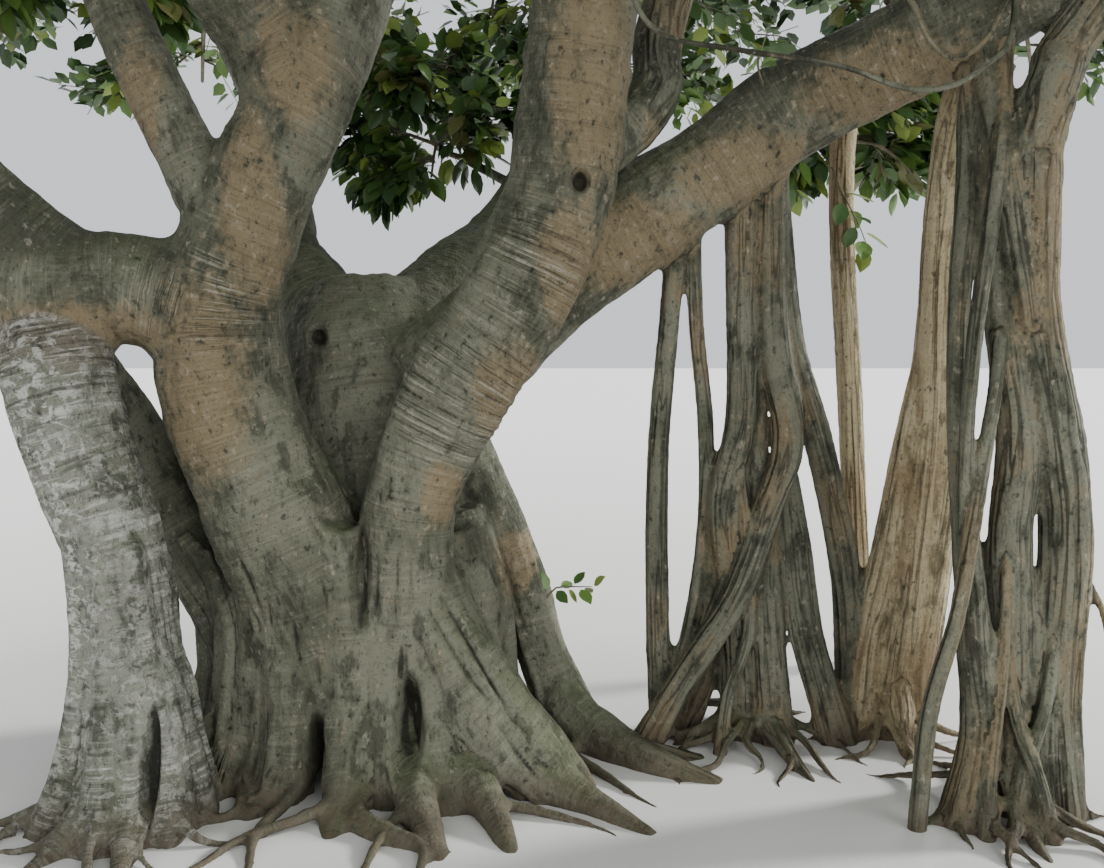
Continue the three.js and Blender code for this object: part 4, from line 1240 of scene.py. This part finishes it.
def growCrown():
    pieces = {}
    for k, (name, mass) in enumerate(masses.items()):
        pieces[name] = growMass(name, mass, growth["firstSeed"] + k)
    return pieces


foliage = growCrown()
twigFaces, leafFaces = (sum(len(pair[i].data.polygons) for pair in foliage.values()) for i in (0, 1))
print("grew", len(foliage), "masses with", leafFaces, "leaf faces and", twigFaces, "twig faces")


# Aerial roots that hang in loops from limb to limb, and leafy shoots on old wood, only there for the eye
loopWays = [
    [[0.86, -0.46, 2.92, 0.009], [0.91, -0.53, 2.68, 0.009], [0.96, -0.55, 2.54, 0.009],
     [1.053, -0.56, 2.468, 0.008], [1.247, -0.66, 2.406, 0.008], [1.534, -0.72, 2.344, 0.008],
     [1.722, -0.74, 2.276, 0.009], [1.847, -0.76, 2.277, 0.009], [1.955, -0.74, 2.339, 0.009],
     [2.043, -0.7, 2.424, 0.01], [2.1, -0.6, 2.6, 0.011]],
    [[1.76, -0.42, 2.62, 0.01], [1.72, -0.62, 2.62, 0.009], [1.745, -0.72, 2.52, 0.009],
     [1.791, -0.74, 2.413, 0.009], [1.866, -0.74, 2.362, 0.009], [1.961, -0.72, 2.419, 0.009],
     [2.06, -0.62, 2.56, 0.01], [2.12, -0.5, 2.62, 0.01]],
]
shoots = [
    {"way": [[0.62, 0, 0.47, 0.004], [0.68, 0, 0.58, 0.004], [0.74, -0.02, 0.6, 0.003],
             [0.83, -0.02, 0.6, 0.002]],
     "leaves": 9, "leaf": 0.075},
    {"way": [[1.93, 0.86, 2.3, 0.004], [1.98, 0.84, 2.18, 0.004], [2.04, 0.82, 2.06, 0.003],
             [2.08, 0.8, 1.95, 0.002]],
     "leaves": 8, "leaf": 0.12},
    {"way": [[1.37, -0.4, 2.36, 0.004], [1.34, -0.46, 2.42, 0.004], [1.36, -0.5, 2.5, 0.002]],
     "leaves": 6, "leaf": 0.07},
]
# the shoots' leaves take the green and fresh tints and the painted glow of leaves lit from behind
shootLook = {"leavesFrom": 0.3, "turn": 2.4, "tints": [1, 2, 3], "seed": 77}


def growLoops():
    loops = []
    for k, way in enumerate(loopWays):
        loop, _ = ringTube(run(way), k)
        loop.name = f"loop_root_{k + 1}"
        bpy.ops.object.shade_smooth()
        loops.append(loop)
    return loops


def growShoots():
    chance = np.random.default_rng(shootLook["seed"])
    stems, holds, ways, sizes = [], [], [], []
    for shoot in shoots:
        heart = Heart(shoot["way"])
        stems.append(hearts([heart], 8, 5))
        shares = np.linspace(shootLook["leavesFrom"], 1, shoot["leaves"])
        turn = np.arange(shoot["leaves"]) * shootLook["turn"]
        onward = heart.tangents(shares)
        aside = unit(np.cross(onward, [0.2, 1, 0.1]))
        outward = aside * np.cos(turn)[:, None] + np.cross(onward, aside) * np.sin(turn)[:, None]
        holds.append(heart.points(shares))
        ways.append(unit(onward * 0.6 + outward + [0, 0, -0.3]))
        sizes.append(shoot["leaf"] * chance.uniform(0.7, 1.15, shoot["leaves"]))
    way, size = np.concatenate(ways), np.concatenate(sizes)[:, None, None]
    wide = unit(np.cross(unit([0, -0.5, 1.0] + chance.uniform(-0.4, 0.4, way.shape)), way))
    axes = np.stack([way, wide, np.cross(way, wide)], axis=1) * size
    tint = chance.choice(shootLook["tints"], len(way))
    leaves = layLeaves(leafing["low"]["rim"], np.concatenate(holds), axes, tint)
    return meshFrom("shoot_stems", *joinArrays(stems)), meshFrom("shoot_leaves", *leaves)


loops = growLoops()
shootStems, shootLeaves = growShoots()
print("grew", len(loops), "looping roots and", len(shoots), "leafy shoots")


# Materials. Zones of colour lie in the tree's own space, and rings and wrinkles follow each limb.
barkLooks = {
    "bark": {
        "base": (0.065, 0.068, 0.045), "second": (0.150, 0.151, 0.110), "blotch": (0.036, 0.038, 0.025),
        "warm": (0.182, 0.139, 0.079), "pale": (0.320, 0.305, 0.240), "dark": (0.014, 0.013, 0.010),
        "moss": (0.064, 0.078, 0.034), "cracked": 0.0, "grain": 0.35, "lichen": 0.0, "wrinkled": 0.0,
    },
    "pale_bark": {
        "base": (0.088, 0.090, 0.064), "second": (0.200, 0.204, 0.164), "blotch": (0.042, 0.043, 0.030),
        "warm": (0.130, 0.112, 0.084), "pale": (0.470, 0.470, 0.420), "dark": (0.022, 0.021, 0.016),
        "moss": (0.100, 0.112, 0.062), "cracked": 0.12, "grain": 0.4, "lichen": 1.0, "wrinkled": 0.7,
    },
    "tan_bark": {
        "base": (0.185, 0.137, 0.070), "second": (0.400, 0.340, 0.210), "blotch": (0.110, 0.086, 0.045),
        "warm": (0.215, 0.150, 0.082), "pale": (0.450, 0.390, 0.270), "dark": (0.030, 0.022, 0.013),
        "moss": (0.100, 0.098, 0.045), "cracked": 0.1, "grain": 0.8, "lichen": 0.0, "wrinkled": 0.2,
    },
}
# where the bark is worn to a warm brown
warmSpots = spotsOf(
    (-0.45, -0.55, 1.40, 0.24, 0.4, 0.50),
    (-0.28, -0.52, 1.95, 0.15, 0.4, 0.44),
    (-0.13, -0.50, 2.40, 0.16, 0.4, 0.28),
    (-0.80, -0.60, 1.55, 0.46, 0.3, 0.15),
    (-0.64, -0.45, 2.30, 0.12, 0.3, 0.26),
    (0.81, -0.52, 2.38, 0.20, 0.4, 0.55),
    (0.74, -0.50, 1.78, 0.17, 0.4, 0.30),
    (0.53, -0.50, 1.36, 0.18, 0.4, 0.24),
    (0.32, -0.50, 1.02, 0.10, 0.3, 0.16),
    (0.98, -0.25, 1.86, 0.45, 0.3, 0.24),
    (1.38, -0.30, 2.10, 0.45, 0.3, 0.22),
    (1.80, -0.40, 2.36, 0.45, 0.3, 0.22),
    (0.55, -0.05, 0.70, 0.12, 0.3, 0.18),
    (2.24, -0.70, 1.90, 0.16, 0.3, 0.60),
)
# where it is paler than round about: mostly paler bark and lichen, and in two spots painted light
paleAndLitSpots = spotsOf(
    (2.06, 0.90, 1.30, 0.50, 0.40, 2.40),
    (-0.93, -0.70, 0.90, 0.24, 0.5, 1.00),
    (2.12, -0.66, 0.85, 0.16, 0.25, 0.80),
    (0.20, -0.60, 1.20, 0.20, 0.4, 0.45),
    (0.36, -0.50, 1.50, 0.30, 0.4, 0.50),
    # painted light: the back of the trunk is made paler where the crown's shade keeps the light off it
    (0.10, 0.05, 1.66, 0.55, 0.5, 0.34),
    (2.26, -0.70, 2.42, 0.16, 0.3, 0.30),
    (0.66, 0.00, 0.38, 0.13, 0.3, 0.34),
    # pale lichen on the lump, together with a painted highlight on its bulge
    (0.41, -0.22, 0.60, 0.11, 0.16, 0.27),
    (-0.42, -0.38, 0.38, 0.12, 0.16, 0.42),
)
# and where it is darker, on top of the long limbs
darkSpots = spotsOf(
    (-0.98, -0.50, 1.92, 0.60, 0.5, 0.20),
    (1.40, -0.16, 2.52, 0.60, 0.4, 0.20),
)


def newMaterial(name):
    material = bpy.data.materials.new(name)
    material.use_nodes = True
    tree = material.node_tree
    return material, tree, tree.nodes["Principled BSDF"]


def blend(tree, amount, first, second):
    values = {"Factor": amount, 6: tuple4(first), 7: tuple4(second)}
    return put(tree, "ShaderNodeMix", values, data_type="RGBA").outputs[2]


# A plain colour gets its fourth number, and a socket stays as it is
def tuple4(colour):
    return (*colour, 1) if isinstance(colour, tuple) else colour


# Noises of the bark: lumps to a metre, detail, roughness, distortion
treeNoises = {
    "broad": ((2.2, 2.2, 1.8), 2.0),
    "smudge": ((12.0, 12.0, 7.0), 4.0, 0.62),
    "fleck": ((38.0, 38.0, 30.0), 3.0, 0.6),
    "speckle": ((110.0, 110.0, 90.0), 2.0, 0.6),
}
limbNoises = {
    "grain": ((75.0, 75.0, 9.0), 3.0, 0.6),
    "strand": ((1.2, 1.2, 1.1), 2.0),
    "wrinkle": ((4.0, 4.0, 62.0), 2.0, 0.6, 0.6),
    "crack": ((30.0, 30.0, 8.0), 2.0),
    "furrow": ((17.0, 17.0, 1.1), 2.0),
}


def makeBark(name, look):
    material, tree, shader = newMaterial(name)

    def read(attribute, output="Fac"):
        return put(tree, "ShaderNodeAttribute", attribute_name=attribute).outputs[output]

    # a pillar's own bark fades into the plain bark where it meets a limb
    own = step(tree, read("own"), 0.5, 0.95)

    def tone(key):
        plain = barkLooks["bark"][key]
        if name == "bark":
            return plain
        if isinstance(plain, tuple):
            return blend(tree, own, plain, look[key])
        return calc(tree, "MULTIPLY_ADD", own, look[key] - plain, plain)

    # how near a noise is to its middle: thin lines where it is 0
    def line(value):
        return calc(tree, "ABSOLUTE", calc(tree, "SUBTRACT", value, 0.5))

    def over(value, low, high, most=1.0):
        return step(tree, value, low, high, 0.0, most)

    def zone(near, most):
        return over(calc(tree, "MULTIPLY_ADD", near, 0.9, ragged), 0.10, 0.92, most)

    def raised(value, *depths):
        return times(tree, calc(tree, "SUBTRACT", value, 0.5), *depths)

    place = put(tree, "ShaderNodeTexCoord").outputs["Object"]
    normal = put(tree, "ShaderNodeNewGeometry").outputs["Normal"]
    facing = put(tree, "ShaderNodeSeparateXYZ", {0: normal}).outputs[2]
    apart = put(tree, "ShaderNodeSeparateXYZ", {0: place}).outputs
    limb = read("limbSpace", "Vector")
    hollow = read("hollow")
    broad, smudge, fleck, speckle = (noise(tree, place, *values) for values in treeNoises.values())
    grain, strand, wrinkle, crack, furrow = (noise(tree, limb, *values) for values in limbNoises.values())
    crack, furrow = line(crack), line(furrow)

    # what follows a limb's own length fades out at the seam to the next limb
    calm = calc(tree, "SUBTRACT", 1.0, read("seam"))
    slender = times(tree, step(tree, read("girth"), 0.135, 0.085), step(tree, apart[0], 0.92, 1.05))
    furrowed = times(tree, slender, calm)
    ringed = times(tree, calm, calc(tree, "MULTIPLY_ADD", furrowed, -0.6, 1.0))
    cracked = times(tree, tone("cracked"), calm)
    fold = nearAny(tree, place, folds)
    if name != "bark":
        fold = calc(tree, "MAXIMUM", fold, tone("wrinkled"))
    near = nearAny(tree, place, paleAndLitSpots)
    onStrand = times(tree, slender, step(tree, strand, 0.44, 0.62))
    warm = calc(tree, "MAXIMUM", nearAny(tree, place, warmSpots), onStrand)
    ragged = plus(tree, raised(smudge, 1.7), raised(fleck, 1.7))
    paleLines = times(tree, step(tree, wrinkle, 0.53, 0.66), calc(tree, "MULTIPLY_ADD", fold, 0.60, 0.16),
                      ringed, step(tree, smudge, 0.40, 0.56, 0.25, 1.0))
    darkLines = times(tree, step(tree, wrinkle, 0.45, 0.34), calc(tree, "MULTIPLY_ADD", fold, 0.40, 0.22),
                      ringed)
    lichen = []
    if name == "pale_bark":
        patches = noise(tree, place, (24.0, 24.0, 32.0), 5.0, 0.66, 0.5)
        lichen = [times(tree, step(tree, patches, 0.49, 0.58), tone("lichen"))]

    # each layer of colour lies on those before it
    layers = [
        (over(smudge, 0.50, 0.38, 0.8), "blotch"),
        (over(smudge, 0.54, 0.72, 0.55), "second"),
        (times(tree, over(grain, 0.42, 0.68), tone("grain"), calm), "second"),
        (zone(near, 0.7), "second"),
        (zone(nearAny(tree, place, darkSpots), 0.8), "blotch"),
        (zone(warm, 0.85), "warm"),
        (times(tree, over(facing, 0.1, 0.8), over(broad, 0.40, 0.58, 0.7)), "moss"),
        *((times(tree, patch, calc(tree, "MULTIPLY_ADD", near, 0.65, 0.27)), "pale") for patch in lichen),
        (paleLines, "pale"),
        (darkLines, "dark"),
        (times(tree, over(crack, 0.05, 0.0, 0.8), cracked), "dark"),
        (times(tree, over(furrow, 0.07, 0.18, 0.60), furrowed), "second"),
        (times(tree, over(furrow, 0.032, 0.0, 0.70), furrowed), "dark"),
        (over(fleck, 0.60, 0.72, 0.42), "pale"),
        (over(fleck, 0.40, 0.28, 0.7), "dark"),
        (over(speckle, 0.45, 0.28, 0.45), "dark"),
        # painted shade darkens the hollows, and a painted highlight lightens the ridges
        (over(hollow, 0.0006, 0.0060, 0.85), "dark"),
        (over(hollow, -0.0015, -0.0060, 0.25), "second"),
    ]
    colour = blend(tree, over(broad, 0.38, 0.62), tone("base"), tone("second"))
    for amount, key in layers:
        colour = blend(tree, amount, colour, tone(key))
    soil = times(tree, over(apart[2], 0.16, 0.0), step(tree, fleck, 0.35, 0.6, 0.3, 0.8))
    colour = blend(tree, soil, colour, (0.085, 0.064, 0.042))
    tree.links.new(colour, shader.inputs["Base Color"])
    tree.links.new(step(tree, fleck, 0.2, 0.8, 0.95, 0.80), shader.inputs["Roughness"])
    shader.inputs["Specular IOR Level"].default_value = 0.25

    bumps = plus(
        tree,
        raised(wrinkle, calc(tree, "MULTIPLY_ADD", fold, 0.011, 0.0035), ringed),
        raised(fleck, 0.0085),
        raised(speckle, 0.0028),
        raised(grain, tone("grain"), 0.0060, calm),
        times(tree, over(crack, 0.06, 0.0), cracked, -0.0070),
        times(tree, over(furrow, 0.0, 0.13), furrowed, 0.014),
        *(times(tree, patch, 0.0022) for patch in lichen),
    )
    raiseBumps(tree, shader, bumps)
    return material


def raiseBumps(tree, shader, height, strength=1.0, distance=1.0):
    values = {"Strength": strength, "Distance": distance, "Height": height}
    tree.links.new(put(tree, "ShaderNodeBump", values).outputs[0], shader.inputs["Normal"])


def makeLeaf(name, colour):
    material, tree, shader = newMaterial(name)
    shader.inputs["Base Color"].default_value = (*colour, 1)
    place = put(tree, "ShaderNodeTexCoord").outputs["Object"]
    shader.inputs["Roughness"].default_value = 0.45
    raiseBumps(tree, shader, times(tree, noise(tree, place, (55.0, 55.0, 55.0), 1.0), 0.004), 0.6)
    shader.inputs["Specular IOR Level"].default_value = 0.45
    return material


def makeTwig():
    material, tree, shader = newMaterial("twigBark")
    place = put(tree, "ShaderNodeTexCoord").outputs["Object"]
    mottle = noise(tree, place, (18.0, 18.0, 18.0), 4.0, 0.6)
    colour = blend(tree, step(tree, mottle, 0.35, 0.65), (0.085, 0.075, 0.045), (0.170, 0.150, 0.100))
    tree.links.new(colour, shader.inputs["Base Color"])
    shader.inputs["Roughness"].default_value = 0.85
    raiseBumps(tree, shader, mottle, 0.5, 0.004)
    return material


def dress():
    barks = {name: makeBark(name, look) for name, look in barkLooks.items()}
    leafMaterials = [makeLeaf(name, colour) for name, (colour, _) in tints.items()]
    twigBark = makeTwig()

    def finish(piece, materials, node=None):
        for material in materials:
            piece.data.materials.append(material)
        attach(piece, "root")
        if node:
            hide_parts(node)

    for name, piece in barkPieces.items():
        piece.data.materials.clear()
        piece.data.polygons.foreach_set("material_index", np.zeros(len(piece.data.polygons), dtype=np.int32))
        finish(piece, [barks[slotOf(name)]], name)
    for name, (twigs, leaves) in foliage.items():
        finish(twigs, [twigBark], name)
        finish(leaves, leafMaterials, name)
    for loop in loops:
        finish(loop, [barks["tan_bark"]])
    finish(shootStems, [twigBark])
    finish(shootLeaves, leafMaterials)


dress()
print("dressed the tree")


# The floor, light and camera
setting = {
    "floor": {"size": 90.0, "colour": (0.74, 0.73, 0.70), "roughness": 0.9},
    "camera": (0.68, -3.90, 1.55),
    "pitch": -5.42,
    "lens": 34.0,
    "sky": (0.90, 0.94, 1.0),
    "skyStrength": 1.0,
    "suns": {
        "high": {"angle": 20.0, "energy": 2.6, "tilt": 50.0, "bearing": 150.0},
        "rim": {"angle": 8.0, "energy": 5.0, "tilt": 70.0, "bearing": 106.0},
        "leftFill": {"angle": 40.0, "energy": 0.75, "tilt": 75.0, "bearing": -34.0},
        "rightFill": {"angle": 40.0, "energy": 1.8, "tilt": 75.0, "bearing": 34.0},
    },
}


def setStage():
    look = setting["floor"]
    bpy.ops.mesh.primitive_plane_add(size=look["size"], location=(0, 0, 0))
    floor = bpy.context.object
    floor.name = "floor"
    material, _, shader = newMaterial("paleFloor")
    shader.inputs["Base Color"].default_value = (*look["colour"], 1)
    shader.inputs["Roughness"].default_value = look["roughness"]
    floor.data.materials.append(material)


def setLights():
    world = bpy.data.worlds.new("studio")
    bpy.context.scene.world = world
    world.use_nodes = True
    sky = world.node_tree.nodes["Background"]
    sky.inputs["Color"].default_value = (*setting["sky"], 1)
    sky.inputs["Strength"].default_value = setting["skyStrength"]
    for name, look in setting["suns"].items():
        bpy.ops.object.light_add(
            type="SUN", rotation=(math.radians(look["tilt"]), 0, math.radians(look["bearing"])))
        sun = bpy.context.object
        sun.name = name
        sun.data.energy = look["energy"]
        sun.data.angle = math.radians(look["angle"])


def setCamera():
    bpy.ops.object.camera_add(
        location=setting["camera"], rotation=(math.radians(90 + setting["pitch"]), 0, 0))
    camera = bpy.context.object
    camera.data.lens = setting["lens"]
    camera.data.sensor_width = 36
    camera.data.clip_end = 500
    bpy.context.scene.camera = camera


setStage()
setLights()
setCamera()
print("set the floor, light and camera")
